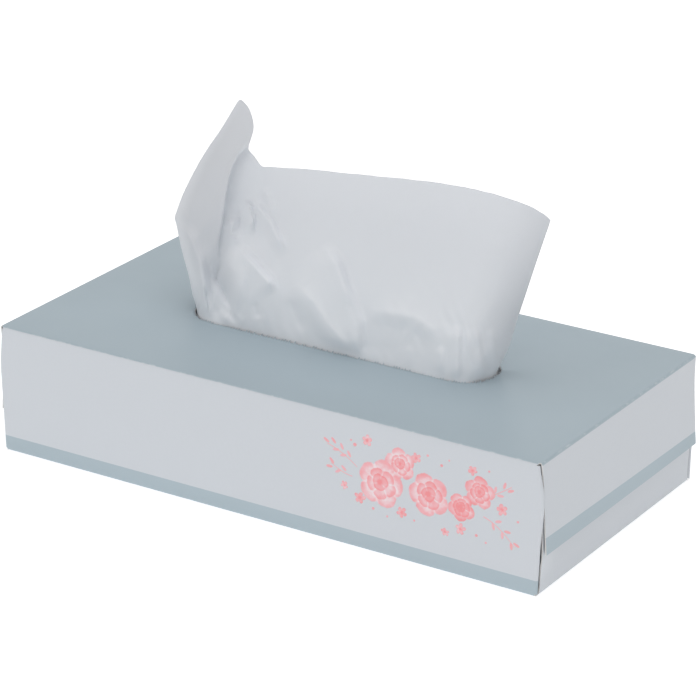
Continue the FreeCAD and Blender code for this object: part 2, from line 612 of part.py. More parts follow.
# The half of the sheet that still lies on the stack.
s = new_sketch(raised, "FootPlan", "XY_Plane", "Dims.board + Dims.rest_gap + Dims.stack_height")
fh, fd = dim("foot_half"), dim("foot_depth")
y0 = -12.3
ids = add_path(s, [("l", (-fh, y0), (fh, y0)), ("l", (fh, y0), (fh, fd)),
                   ("l", (fh, fd), (-fh, fd)), ("l", (-fh, fd), (-fh, y0))])
weld(s, ids)
settle(s, ids)
name_dim(s, Sketcher.Constraint("DistanceX", ids[0], 1, -1, 1, fh), "Dims.foot_half", "left")
name_dim(s, Sketcher.Constraint("DistanceX", -1, 1, ids[0], 2, fh), "Dims.foot_half", "right")
name_dim(s, Sketcher.Constraint("DistanceY", ids[0], 1, -1, 1, -y0), "12.3", "front")
name_dim(s, Sketcher.Constraint("DistanceY", -1, 1, ids[2], 1, fd), "Dims.foot_depth", "back")
foot = pad(raised, "Foot", s, "Dims.foot_thick")
doc.recompute()

# ----------------------------------------------------------------------------
# Checks and export
# ----------------------------------------------------------------------------
doc.recompute()
bad = []
for obj in doc.Objects:
    for flag in ("Invalid", "Error"):
        if flag in obj.State:
            bad.append((obj.Name, obj.State))
if bad:
    raise RuntimeError("failed objects: %s" % bad)

NODES = [carton, stack, raised]
for body in NODES:
    shape = body.Shape
    if shape.isNull() or not shape.isValid():
        raise RuntimeError(body.Label + " is null or not valid")
    if len(shape.Solids) != 1:
        raise RuntimeError("%s has %d solids" % (body.Label, len(shape.Solids)))

os.makedirs("parts", exist_ok=True)
for body in NODES:
    body.Shape.exportStep("parts/%s.step" % body.Label)
    b = body.Shape.BoundBox
    print("%-14s volume %.1f  box x %.2f..%.2f  y %.2f..%.2f  z %.2f..%.2f" % (
        body.Label, body.Shape.Volume, b.XMin, b.XMax, b.YMin, b.YMax, b.ZMin, b.ZMax))
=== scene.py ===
import math
import bpy
import bmesh
import numpy as np
from mathutils import Matrix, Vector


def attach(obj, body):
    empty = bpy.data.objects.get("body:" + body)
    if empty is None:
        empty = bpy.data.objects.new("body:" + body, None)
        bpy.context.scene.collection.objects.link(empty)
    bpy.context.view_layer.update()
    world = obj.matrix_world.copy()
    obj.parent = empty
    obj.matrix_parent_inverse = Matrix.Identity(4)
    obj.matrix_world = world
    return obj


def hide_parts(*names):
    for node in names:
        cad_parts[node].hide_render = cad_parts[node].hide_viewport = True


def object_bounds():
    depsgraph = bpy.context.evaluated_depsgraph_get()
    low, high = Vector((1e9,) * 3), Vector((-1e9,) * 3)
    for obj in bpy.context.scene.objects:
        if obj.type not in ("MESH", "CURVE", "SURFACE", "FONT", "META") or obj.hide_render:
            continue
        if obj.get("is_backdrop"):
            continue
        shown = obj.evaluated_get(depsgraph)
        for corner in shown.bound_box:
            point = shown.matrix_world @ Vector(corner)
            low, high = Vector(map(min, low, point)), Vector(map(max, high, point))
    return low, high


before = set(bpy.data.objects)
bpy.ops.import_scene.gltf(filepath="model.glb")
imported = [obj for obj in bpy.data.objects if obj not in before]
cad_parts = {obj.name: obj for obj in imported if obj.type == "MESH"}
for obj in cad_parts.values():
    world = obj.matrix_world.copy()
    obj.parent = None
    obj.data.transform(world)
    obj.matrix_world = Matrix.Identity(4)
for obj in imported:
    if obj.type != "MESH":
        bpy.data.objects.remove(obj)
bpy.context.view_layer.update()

MM = 0.001
scene = bpy.context.scene

# ---------------------------------------------------------------- dimensions
# Millimetres, the carton's own: they repeat the ones the frame was built with.
T = 0.45            # board
RO = 0.9            # outside radius of a fold
H = 50.0
L2 = 115.0
W2 = 57.75
GAP = 0.1
XA = L2 - RO        # the top panel ends here
XB = L2 - T - GAP - RO
Y_TAB = W2 - T - GAP
YB = Y_TAB - RO
SLOT_R = 13.0
SLOT_C = 64.5 - SLOT_R

# ------------------------------------------------------------------- camera
AZ, EL, ROLL = math.radians(32.388), math.radians(22.355), math.radians(0.152)
TX, TY, DIST, FOCAL = 2.064, 42.463, 1208.356, 3241.88
back = np.array([math.sin(AZ) * math.cos(EL), -math.cos(AZ) * math.cos(EL), math.sin(EL)])
fwd = -back
right = np.cross(fwd, [0, 0, 1.0])
right /= np.linalg.norm(right)
up = np.cross(right, fwd)
right, up = (math.cos(ROLL) * right + math.sin(ROLL) * up,
             -math.sin(ROLL) * right + math.cos(ROLL) * up)
EYE = back * DIST + right * TX + up * TY


def project(p):
    """Millimetre points to the 700 x 700 frame."""
    d = p - EYE
    w = d @ fwd
    return 350 + FOCAL * (d @ right) / w, 350 - FOCAL * (d @ up) / w


def at(px, py, y):
    """The point seen at (px, py) that lies on the plane of this y, in mm."""
    d = fwd + right * (px - 350) / FOCAL - up * (py - 350) / FOCAL
    return EYE + d * ((y - EYE[1]) / d[1])


cam_data = bpy.data.cameras.new("camera")
cam = bpy.data.objects.new("camera", cam_data)
scene.collection.objects.link(cam)
cam_data.sensor_width = 36.0
cam_data.lens = 36.0 * FOCAL / 700.0
cam_data.clip_start, cam_data.clip_end = 0.05, 50
m = Matrix.Identity(4)
for r in range(3):
    m[r][0], m[r][1], m[r][2], m[r][3] = right[r], up[r], back[r], EYE[r] * MM
cam.matrix_world = m
scene.camera = cam

# ------------------------------------------------------------------ helpers


def smooth(x, a, b):
    t = np.clip((x - a) / (b - a), 0, 1)
    return t * t * (3 - 2 * t)


def hermite(t, y, slopes, tq):
    tq = np.asarray(tq, float)
    h = np.diff(t)
    k = np.clip(np.searchsorted(t, tq, side="right") - 1, 0, len(h) - 1)
    x = ((tq - t[k]) / h[k]).reshape(tq.shape + (1,) * (y.ndim - 1))
    hk = h[k].reshape(x.shape)
    return ((2 * x**3 - 3 * x**2 + 1) * y[k] + (x**3 - 2 * x**2 + x) * hk * slopes[k]
            + (-2 * x**3 + 3 * x**2) * y[k + 1] + (x**3 - x**2) * hk * slopes[k + 1])


def pchip(t, y, tq):
    """Monotone cubic through (t, y), y being (n, ...)."""
    t, y = np.asarray(t, float), np.asarray(y, float)
    h = np.diff(t).reshape((-1,) + (1,) * (y.ndim - 1))
    d = np.diff(y, axis=0) / h
    s = np.zeros_like(y)
    w1, w2 = 2 * h[1:] + h[:-1], h[1:] + 2 * h[:-1]
    same = d[:-1] * d[1:] > 0
    safe = np.where(same, d[:-1] * d[1:], 1.0)
    s[1:-1] = np.where(same, (w1 + w2) * safe / np.where(same, w1 * d[1:] + w2 * d[:-1], 1.0), 0)
    s[0], s[-1] = d[0], d[-1]
    return hermite(t, y, s, tq)


def catmull(t, y, tq):
    """C1 cubic through (t, y) with averaged slopes."""
    t, y = np.asarray(t, float), np.asarray(y, float)
    if len(t) == 2:
        w = ((np.asarray(tq) - t[0]) / (t[1] - t[0])).reshape((-1,) + (1,) * (y.ndim - 1))
        return y[0] * (1 - w) + y[1] * w
    h = np.diff(t).reshape((-1,) + (1,) * (y.ndim - 1))
    d = np.diff(y, axis=0) / h
    s = np.zeros_like(y)
    s[1:-1] = (d[:-1] * h[1:] + d[1:] * h[:-1]) / (h[:-1] + h[1:])
    s[0], s[-1] = d[0], d[-1]
    return hermite(t, y, s, tq)


def noise(x, y, scale, seed):
    """Smooth value noise, about -1 to 1, with features of the given size."""
    g = np.random.default_rng(seed).uniform(-1, 1, (64, 64))
    x, y = np.asarray(x) / scale + 31.7, np.asarray(y) / scale + 17.3
    xi, yi = np.floor(x).astype(int), np.floor(y).astype(int)
    fx, fy = x - xi, y - yi
    fx, fy = fx * fx * fx * (fx * (fx * 6 - 15) + 10), fy * fy * fy * (fy * (fy * 6 - 15) + 10)
    a, b = g[xi % 64, yi % 64], g[(xi + 1) % 64, yi % 64]
    c, d = g[xi % 64, (yi + 1) % 64], g[(xi + 1) % 64, (yi + 1) % 64]
    return (a * (1 - fx) + b * fx) * (1 - fy) + (c * (1 - fx) + d * fx) * fy


def new_object(name, verts, faces, attribute=None, material_index=None):
    me = bpy.data.meshes.new(name)
    me.from_pydata([tuple(v) for v in np.asarray(verts) * MM], [], [tuple(int(i) for i in f) for f in faces])
    if attribute is not None:
        a = me.attributes.new("blank", "FLOAT_VECTOR", "POINT")
        a.data.foreach_set("vector", np.asarray(attribute, float).ravel())
    if material_index is not None:
        me.polygons.foreach_set("material_index", list(material_index))
    me.update()
    ob = bpy.data.objects.new(name, me)
    scene.collection.objects.link(ob)
    return ob


def apply_modifiers(ob):
    dg = bpy.context.evaluated_depsgraph_get()
    me = bpy.data.meshes.new_from_object(ob.evaluated_get(dg), preserve_all_data_layers=True, depsgraph=dg)
    old = ob.data
    ob.modifiers.clear()
    ob.data = me
    bpy.data.meshes.remove(old)
    me.name = ob.name


def weld(ob, dist=0.002):
    bm = bmesh.new()
    bm.from_mesh(ob.data)
    bmesh.ops.remove_doubles(bm, verts=bm.verts, dist=dist * MM)
    bm.to_mesh(ob.data)
    bm.free()


def thicken(ob, thickness, offset, inner=0, rim=0):
    mod = ob.modifiers.new("thickness", "SOLIDIFY")
    mod.thickness = thickness * MM
    mod.offset = offset
    mod.use_rim = True
    mod.use_even_offset = False
    mod.material_offset = inner
    mod.material_offset_rim = rim
    apply_modifiers(ob)


def shade(ob, angle=None):
    ob.data.polygons.foreach_set("use_smooth", [True] * len(ob.data.polygons))
    if angle is not None:
        ob.data.set_sharp_from_angle(angle=math.radians(angle))


# ------------------------------------------------------------------- carton
# The printed side of one folded sheet of board is built first. blank holds
# each point's place in the flat sheet: x along the box, s across the strip of
# panels (back, top, front, bottom, seam tab), in mm. The board then gets its
# thickness inwards.
ARC = RO * math.pi / 2
L_BACK = H - RO - 0.3
S_TOP = L_BACK + ARC
L_TOP = 2 * (W2 - RO)
S_FRONT = S_TOP + L_TOP + ARC
L_FRONT = H - 2 * RO
S_BOTTOM = S_FRONT + L_FRONT + ARC
S_TAB = S_BOTTOM + W2 - RO + YB + ARC


class Skin:
    def __init__(self):
        self.v, self.b, self.f, self.m = [], [], [], []

    def add(self, pts, blank):
        base = len(self.v)
        pts, blank = pts.reshape(-1, 3), blank.reshape(-1, 2)
        self.v.extend(pts)
        self.b.extend(np.concatenate([blank, np.zeros((len(blank), 1))], axis=1))
        return base

    def grid(self, pts, blank, out, mat=0):
        """A grid of points as quads, wound so that they face out on the whole."""
        n, m = pts.shape[:2]
        base = self.add(pts, blank)
        d1, d2 = pts[1:, 1:] - pts[:-1, :-1], pts[:-1, 1:] - pts[1:, :-1]
        total = np.cross(d1, d2).reshape(-1, 3).sum(axis=0)
        i, j = np.meshgrid(np.arange(n - 1), np.arange(m - 1), indexing="ij")
        a = (base + i * m + j).ravel()
        quads = np.stack([a, a + m, a + m + 1, a + 1], axis=1)
        if total @ np.array(out, float) < 0:
            quads = quads[:, ::-1]
        self.f.extend(quads.tolist())
        self.m.extend([mat] * len(quads))


# How far out each vertical fold stands, at heights from the foot to the top.
FOLD_OUT = {
    "fr": ([0, 5, 10, 21, 28, 34, 38, 42, 46, 49.1], [114.5, 114.65, 114.85, 115.3, 115.9, 116.35, 116.2, 115.5, 114.7, 114.25]),
    "br": ([0, 10, 22, 34, 44, 49.1], [114.6, 114.8, 115.1, 115.0, 114.5, 114.1]),
    "fl": ([0, 10, 22, 34, 44, 49.1], [114.5, 114.8, 115.2, 115.5, 114.7, 114.05]),
    "bl": ([0, 10, 22, 34, 44, 49.1], [114.6, 114.7, 114.9, 115.0, 114.5, 114.1]),
}


def fold_out(key, z):
    zz, out = FOLD_OUT[key]
    return pchip(zz, out, z)


def wall_x(x, z, side_keys):
    """Stations along a long wall: they end where its vertical folds begin."""
    r = (fold_out(side_keys[0], z) - RO) / XA
    l = (fold_out(side_keys[1], z) - RO) / XA
    ramp = smooth(np.abs(x), 60.0, XA)
    return np.where(x > 0, x * (1 + (r - 1) * ramp), x * (1 + (l - 1) * ramp))


FLAP_SIDE = 55.8
UNDER_SIDE = 55.2
FLAP_LOW = 15.7
FLAP_LEAN = {1: 2.2, -1: 1.9}

skin = Skin()
NX, NY, NS = 161, 49, 25
xs = np.linspace(-XA, XA, NX)
ys = np.linspace(-W2 + RO, W2 - RO, NY)


def top_z(x, y):
    """The top panel sags a little between its folds."""
    e = (1 - (x / XA) ** 2) * (1 - (y / (W2 - RO)) ** 2)
    return H - (0.26 - 0.05 * np.sin(x / 29.0 + 0.8)) * e


def teeth(s, seed):
    """Torn ties of the perforation, left standing into the slot."""
    r = np.random.default_rng(seed)
    out = 0.03 * np.sin(s * 2.3 + seed) + 0.02 * np.sin(s * 5.1)
    pos = 0.4
    while pos < s.max():
        wide, tall = r.uniform(0.22, 0.40), r.uniform(0.12, 0.62)
        out = np.maximum(out, tall * np.clip(1.25 - np.abs(s - pos) / wide, 0, 1))
        pos += r.uniform(0.95, 1.35)
    return out


# The top panel is rings from the torn oval slot out to the four folds. The
# first two rings are F times finer than the others.
F = 4
n_long, n_end = NX - 1, NY - 1


def oval(per, inset):
    """The slot's outline, starting at its front left, per points a station."""
    pts = []
    x = np.linspace(-SLOT_C, SLOT_C, n_long * per + 1)[:-1]
    a = np.radians(np.linspace(-90, 90, n_end * per + 1))[:-1]
    q = [inset(k, s) for k, s in enumerate((x + SLOT_C, (a + math.pi / 2) * SLOT_R, x + SLOT_C, (a + math.pi / 2) * SLOT_R))]
    pts += list(zip(x, -SLOT_R + q[0]))
    pts += list(zip(SLOT_C + (SLOT_R - q[1]) * np.cos(a), (SLOT_R - q[1]) * np.sin(a)))
    pts += list(zip(-x, SLOT_R - q[2]))
    pts += list(zip(-SLOT_C - (SLOT_R - q[3]) * np.cos(a), -(SLOT_R - q[3]) * np.sin(a)))
    return np.array(pts)


torn = oval(F, lambda k, s: teeth(s, 21 + k))
even = oval(F, lambda k, s: np.full_like(s, -0.4))
coarse = oval(1, lambda k, s: np.full_like(s, -0.4))
border = np.array([(x, ys[0]) for x in xs[:-1]] + [(XA, y) for y in ys[:-1]]
                  + [(-x, ys[-1]) for x in xs[:-1]] + [(-XA, -y) for y in ys[:-1]])


def rim_lift(d):
    """The rim is left slightly raised where the oval was torn away."""
    return 0.16 * np.exp(-(d / 5.0) ** 2)


def top_blank(p):
    return np.stack([p[:, 0], S_TOP + (W2 - RO - p[:, 1])], axis=1)


def top_ring(p, d):
    z = top_z(p[:, 0], p[:, 1]) + rim_lift(d) * (0.7 + 0.3 * np.sin(p[:, 0] / 15.0))
    # the torn ties curl up
    z += 1.6 * np.clip(SLOT_R - np.hypot(np.clip(np.abs(p[:, 0]) - SLOT_C, 0, None), p[:, 1]), 0, 0.5)
    return skin.add(np.column_stack([p, z]), top_blank(p))


ring_a, ring_b = top_ring(torn, 0.0), top_ring(even, 0.4)
n_f, n_c = len(torn), len(coarse)
for k in range(n_f):
    q = (k + 1) % n_f
    skin.f.append([ring_a + k, ring_b + k, ring_b + q, ring_a + q])
    skin.m.append(0)
prev = None
for t in [0.012, 0.03, 0.06, 0.1, 0.16, 0.23, 0.31, 0.4, 0.5, 0.6, 0.7, 0.8, 0.9, 1.0]:
    p = coarse * (1 - t) + border * t
    ring = top_ring(p, 0.4 + t * 44.0) if t < 1 else skin.add(np.column_stack([border, np.full(n_c, H)]), top_blank(border))
    for k in range(n_c):
        q = (k + 1) % n_c
        if prev is None:
            fine_side = [ring_b + (k * F + i) % n_f for i in range(F, -1, -1)]
            skin.f.append([ring + k, ring + q] + fine_side)
        else:
            skin.f.append([prev + k, ring + k, ring + q, prev + q])
        skin.m.append(0)
    prev = ring

arc = np.linspace(0, 1, 8)


def fold_strip(cy, cz, a0, a1, s0, x_first, x_last):
    """A fold along the box: x_first and x_last are the stations of its two
    long edges."""
    a = np.radians(a0 + (a1 - a0) * arc)
    X = x_first[:, None] * (1 - arc) + x_last[:, None] * arc
    pts = np.stack([X, np.broadcast_to(cy + RO * np.cos(a), X.shape), np.broadcast_to(cz + RO * np.sin(a), X.shape)], axis=-1)
    blank = np.stack([X, np.broadcast_to(s0 + arc * ARC, X.shape)], axis=-1)
    return pts, blank


x_front_top = wall_x(xs, np.full(NX, H - RO), ("fr", "fl"))
x_front_low = wall_x(xs, np.full(NX, RO), ("fr", "fl"))
x_back_top = wall_x(xs, np.full(NX, H - RO), ("br", "bl"))
xs_b = xs * XB / XA
p, b = fold_strip(W2 - RO, H - RO, 0, 90, S_TOP - ARC, x_back_top, xs)
skin.grid(p, b, (0, 1, 1))
p, b = fold_strip(-W2 + RO, H - RO, 90, 180, S_FRONT - ARC, xs, x_front_top)
skin.grid(p, b, (0, -1, 1), mat=3)
p, b = fold_strip(-W2 + RO, RO, 180, 270, S_BOTTOM - ARC, x_front_low, xs_b)
skin.grid(p, b, (0, -1, -1), mat=3)


def wall(sign, z_rows, s_rows, keys, mat, amount):
    """A long wall with the dust flap at each of its ends."""
    X0, Z = np.meshgrid(xs, z_rows, indexing="ij")
    X = wall_x(X0, Z, keys)
    bow = amount * (1 - (X0 / 118.0) ** 2) * np.sin(np.pi * np.clip(Z / H, 0, 1)) * (0.8 + 0.3 * np.sin(X0 / 37.0 + 1.0))
    bow *= smooth(Z, H - RO, H - RO - 3) * (smooth(Z, RO, RO + 3) if sign < 0 else 1)
    Y = W2 - bow
    S = np.broadcast_to(s_rows, X.shape)
    skin.grid(np.stack([X, sign * Y, Z], axis=-1), np.stack([X, S], axis=-1), (0, sign, 0), mat=mat)
    q1 = np.concatenate([np.linspace(0, 1, 22), 1 + np.linspace(0, 1, 7)[1:]])
    for side, key in ((1, keys[0]), (-1, keys[1])):
        xo = fold_out(key, z_rows)
        edge = Y[-1 if side > 0 else 0]
        P = np.zeros((len(q1), len(z_rows), 3))
        B = np.zeros((len(q1), len(z_rows), 2))
        for k, (x, w) in enumerate(zip(xo, edge)):
            e = x - 114.2
            deep = 1.0 - 0.8 * float(smooth(z_rows[k], 12, 17) * smooth(z_rows[k], 33, 26)) if sign < 0 else 0.2
            c = np.array([
                (x - 0.9, w), (x - 0.45, W2 - 0.12), (x - 0.12, W2 - 0.45), (x, W2 - 0.85),
                (x - 0.14 - 0.08 * max(e, 0), W2 - 1.12), (113.9 - 0.3 * deep + e * 0.45, W2 - 1.36),
                (113.8 - 0.9 * deep + e * 0.12, W2 - 1.62), (113.75 - 1.05 * deep, W2 - 2.6), (113.75 - 0.55 * deep, W2 - 5.2),
                (113.75, W2 - 13.0), (113.7, W2 - 43.0)])
            seg = np.concatenate([[0], np.cumsum(np.linalg.norm(np.diff(c, axis=0), axis=1))])
            q = np.where(q1 <= 1, q1 * seg[8], seg[8] + (q1 - 1) * (seg[10] - seg[8]))
            line = catmull(seg, c, q)
            P[:, k, 0] = side * line[:, 0]
            P[:, k, 1] = sign * line[:, 1]
            P[:, k, 2] = z_rows[k] + (25 - z_rows[k]) * 0.035 * smooth(q, 0.7, 3.5)
            B[:, k, 0] = side * (x - 0.9 + q)
            B[:, k, 1] = s_rows[k]
        skin.grid(P, B, (side, 0, 0), mat=0)


zs = np.linspace(H - RO, RO, NS)
wall(-1, zs, S_FRONT + (H - RO - zs), ("fr", "fl"), 3, 0.22)
zb = np.linspace(H - RO, 0.3, NS)
wall(1, zb, zb - 0.3, ("br", "bl"), 0, 0.07)

# bottom panel, and the seam tab folded up behind the back wall
ys_b = np.linspace(-W2 + RO, YB, 33)
X, Y = np.meshgrid(xs_b, ys_b, indexing="ij")
Z = 0.1 * (1 - (X / XB) ** 2) * np.clip(1 - ((Y + 0.3) / 56.6) ** 2, 0, 1)
Z[:, 0] = Z[:, -1] = Z[0] = Z[-1] = 0
skin.grid(np.stack([X, Y, Z], axis=-1), np.stack([X, S_BOTTOM + (Y + W2 - RO)], axis=-1), (0, 0, -1))
xt = xs_b[np.abs(xs_b) <= 107.5]
p, b = fold_strip(YB, RO, 270, 360, S_TAB - ARC, xt, xt)
skin.grid(p, b, (0, 1, -1))
X, Z = np.meshgrid(xt, np.linspace(RO, 16.0, 8), indexing="ij")
skin.grid(np.stack([X * (1 - 0.0013 * (Z - RO)), np.full_like(X, Y_TAB), Z], axis=-1),
          np.stack([X, S_TAB + Z - RO], axis=-1), (0, 1, 0))

# top end flaps: they hang from the top panel and spring out at their edge
for side in (1, -1):
    lean = FLAP_LEAN[side]
    turn = 90 - math.degrees(math.atan2(lean, H - RO - FLAP_LOW))
    a = np.radians(90 - turn * arc)
    run = np.linspace(0, 1, 23)[1:]
    P = np.zeros((len(a) + len(run), NY, 3))
    B = np.zeros((len(a) + len(run), NY, 2))
    for j, y in enumerate(ys):
        yn = y / (W2 - RO)
        x0, z0 = XA + RO * np.cos(a), H - RO + RO * np.sin(a)
        xl = x0[-1] + lean * (0.66 * run + 0.34 * run ** 2) + 0.10 * np.sin(np.pi * run) * (1 - yn ** 2)
        xl = xl - 0.12 * run * (1 - np.cos(yn * 1.9 - 0.5))
        xx = np.concatenate([x0, np.minimum(xl, 117.18)])
        zz = np.concatenate([z0, H - RO - (H - RO - FLAP_LOW) * run])
        s = np.concatenate([[0], np.cumsum(np.hypot(np.diff(xx), np.diff(zz)))])
        P[:, j, 0] = side * xx
        P[:, j, 1] = yn * pchip([0, 1.4, 3.5, 6.5, 9.5, 14, 40], [W2 - RO, W2 - RO, 56.6, 56.2, 55.95, FLAP_SIDE, FLAP_SIDE], s)
        P[:, j, 2] = zz
        B[:, j, 0] = side * (XA + s)
        B[:, j, 1] = S_TOP + (W2 - RO - y)
    skin.grid(P, B, (side, 0, 0))

# bottom end flaps: folded up behind them
for side in (1, -1):
    a = np.radians(-90 + 90 * arc)
    zl = np.linspace(RO, 45.0, 15)[1:]
    P = np.zeros((len(a) + len(zl), len(ys_b), 3))
    B = np.zeros((len(a) + len(zl), len(ys_b), 2))
    for j, y in enumerate(ys_b):
        xx = np.concatenate([XB + RO * np.cos(a), np.full(len(zl), XB + RO)])
        zz = np.concatenate([RO + RO * np.sin(a), zl])
        s = np.concatenate([[0], np.cumsum(np.hypot(np.diff(xx), np.diff(zz)))])
        half = UNDER_SIDE + 1.0 * smooth(zz, 5.5, 12.5)
        y1 = half * (2 * j / (len(ys_b) - 1) - 1)
        r = np.clip((H - RO - zz) / (H - RO - FLAP_LOW), 0, 1)
        spring = 0.62 * FLAP_LEAN[side] * (0.66 * r + 0.34 * r ** 2) * smooth(zz, 5.0, 16.5) * smooth(-y, 46.0, 54.0)
        P[:, j, 0] = side * (xx + spring)
        P[:, j, 1] = y + (y1 - y) * smooth(s, 0.2, 2.2)
        P[:, j, 2] = zz
        B[:, j, 0] = side * (XB + s)
        B[:, j, 1] = S_BOTTOM + (y + W2 - RO)
    skin.grid(P, B, (side, 0, 0))

carton = new_object("carton_board", np.array(skin.v), skin.f, np.array(skin.b), skin.m)
weld(carton)

# ------------------------------------------------------------- raised sheet
# Columns of points up the sheet, from its right cut edge, along the slot's
# front side to the left fold and round to the back. Each starts at the slot
# as (x, y) in mm; the points above it are (column, row, y): a place in the
# 700 x 700 frame and the depth it lies at. The last is on the upper edge.
COLUMNS = [
    ((61.5, 5.5), [(508, 349, 7), (517, 320, 6.5), (527, 290, 5.5), (539, 254, 4.5), (550.5, 220.5, 3)]),
    ((63.3, -1.0), [(545.5, 215.5, 0)]),
    ((58.3, -10.5), [(531, 207, -4)]),
    ((49.0, -12.45), [(505, 197, -7)]),
    ((36.0, -12.45), [(470, 188.5, -9)]),
    ((20.0, -12.45), [(430, 182, -11)]),
    ((4.0, -12.3), [(390, 177.5, -12)]),
    ((-10.0, -12.1), [(345, 173, -12.5)]),
    ((-22.0, -12.05), [(305, 169, -12)]),
    ((-31.0, -12.05), [(270, 290, -12.8), (272, 255, -10.8), (273, 222, -9.6), (272, 195, -9.5), (270, 166.7, -9.6)]),
    ((-37.0, -12.05), [(257, 298, -12.6), (259.5, 281, -12.2), (262, 256, -10.6), (262, 230, -8.6), (262.5, 210, -8.3),
                       (263, 192, -8.3), (263, 180, -8.4), (262.5, 172, -8.6), (262, 166, -8.8)]),
    ((-41.0, -12.1), [(246, 298, -12.9), (245, 281, -12.9), (243, 255, -11.2), (243, 228, -8.8), (244.5, 208, -8.6),
                       (247, 190, -8.6), (250, 176, -8.7), (253, 165, -8.8), (255.5, 158, -8.8)]),
    ((-44.5, -12.25), [(237, 298, -12.7), (234.5, 281, -12.7), (230, 254, -10.8), (231, 226, -9.6), (233.5, 206, -9.5),
                       (237, 188, -9.5), (242, 171, -9.4), (247, 158, -9.2), (250.5, 152, -9.0)]),
    ((-47.0, -12.45), [(230, 297, -11.4), (226, 281, -11.2), (221, 252, -10.8), (223.5, 224, -11.3), (227, 203, -11.5),
                       (230.5, 185, -11.5), (236, 168, -11.2), (243, 155, -10.8), (248.5, 149, -10.4)]),
    ((-50.0, -12.4), [(222.5, 297, -10.6), (217.5, 280, -10.0), (217, 250, -12.0), (221.5, 222, -13.3), (224.5, 202, -13.6),
                      (227.5, 184, -13.7), (232.5, 166, -13.5), (240.5, 152, -13.0), (249, 145, -12.4)]),
    ((-54.0, -12.0), [(214, 297, -11.0), (211.5, 279, -10.6), (209.5, 248, -12.0), (211, 221, -12.4), (214, 202, -11.9),
                      (219, 183, -11.2), (228, 160, -10.0), (240.5, 141, -9.4), (253.5, 128, -9)]),
    ((-56.7, -10.8), [(207.5, 297, -11.9), (205, 279, -12.0), (200, 247, -12.0), (199.5, 220, -10.4), (203.5, 201, -8.9),
                      (209.5, 182, -7.8), (220.5, 157, -6.4), (235, 132, -5.0), (250.5, 112, -4.4)]),
    ((-59.0, -9.0), [(200.5, 297, -10.8), (197.5, 278, -11.1), (190.5, 246, -10.4), (186, 219, -6.8), (191.5, 200, -4.8),
                     (199.5, 181, -3.8), (213, 155, -2.6), (228.5, 128, -1.2), (243.5, 101.5, 0)]),
    ((-61.8, -5.1), [(193.5, 297, -7.5), (189.5, 278, -8.2), (181, 246, -5.6), (176.4, 223.5, -1.6), (175.0, 217.3, -0.4), (177.2, 210.5, 0.6), (181.2, 199, 1.8),
                     (190, 180, 3.2), (205, 153, 3.6), (222, 128, 3.4), (238.5, 100.5, 2.5)]),
    ((-63.0, 1.0), [(196, 297, 0), (192.5, 278, 0.5), (184.5, 246, 2.5), (180.6, 223.5, 4.8), (179.5, 217.3, 5.2), (181.5, 210.5, 5.8), (185, 200, 6.6),
                    (194, 181, 7.4), (209, 154, 7.0), (226, 128, 5.8), (239.5, 103.5, 4.4)]),
]
# The part behind the left fold, seen only from the back: points in mm.
BEHIND = [
    ((-58.0, 7.0), [(-62, 7, 64), (-66, 7, 78), (-64, 7, 92), (-58, 5.5, 105), (-49, 2.5, 117)]),
    ((-49.0, 9.5), [(-53, 9, 62), (-56, 9, 75), (-54, 8, 87), (-49, 7, 97), (-42, 5, 105)]),
    ((-40.0, 9.8), [(-43, 9, 60), (-45, 9, 71), (-43, 8.5, 82), (-39, 7.5, 92), (-33, 6.5, 101)]),
    ((-31.0, 9.2), [(-33, 8.5, 59), (-34, 8.5, 69), (-32, 8, 78), (-28, 7, 87), (-22, 6.5, 95)]),
]
FOOT_X = [79, 77, 71, 62, 46, 28, 9, -8, -23, -34, -42, -47, -51, -54, -58, -63, -67, -71, -77, -79,
          -72, -61, -50, -39]
columns = []
for neck, pts in COLUMNS:
    columns.append(np.array([(neck[0], neck[1], H)] + [at(*q) for q in pts]))
for neck, pts in BEHIND:
    columns.append(np.array([(neck[0], neck[1], H)] + [tuple(q) for q in pts]))

NU, NV = 270, 104
tv = np.linspace(0, 1, NV) ** 0.92
stations = []
for c in columns:
    seg = np.concatenate([[0], np.cumsum(np.linalg.norm(np.diff(c, axis=0), axis=1))])
    stations.append(catmull(seg / seg[-1], c, tv))
stations = np.array(stations)                      # columns x levels x 3
gap = np.linalg.norm(np.diff(stations, axis=0), axis=2).mean(axis=1)
uc = np.concatenate([[0], np.cumsum(gap)])
WIDE = uc[-1]
u = np.linspace(0, WIDE, NU)
sheet_pts = catmull(uc, stations, u)               # NU x NV x 3
u_fold = uc[18]                                    # the left silhouette


def crease(px, py, line, width, ease=0.25):
    """Distance to a drawn line, as a bump of height 1 that fades at its ends,
    and which side of it a point lies on."""
    line = np.array(line, float)
    best = np.full(px.shape, 1e9)
    side = np.zeros(px.shape)
    along = np.zeros(px.shape)
    seg = np.linalg.norm(np.diff(line, axis=0), axis=1)
    total, done = seg.sum(), 0.0
    for k in range(len(seg)):
        a, d = line[k], (line[k + 1] - line[k]) / seg[k]
        s = np.clip((px - a[0]) * d[0] + (py - a[1]) * d[1], 0, seg[k])
        dx, dy = px - a[0] - d[0] * s, py - a[1] - d[1] * s
        q = np.hypot(dx, dy)
        near = q < best
        best = np.where(near, q, best)
        side = np.where(near, d[0] * dy - d[1] * dx, side)
        along = np.where(near, (done + s) / total, along)
        done += seg[k]
    fade = smooth(along, 0, ease) * smooth(along, 1, 1 - ease)
    return best, side, fade


def ridge(px, py, line, height, width, ease=0.3):
    d, _, fade = crease(px, py, line, width, ease)
    return height * fade * np.exp(-np.sqrt((d / width) ** 2 + 0.04) + 0.2)


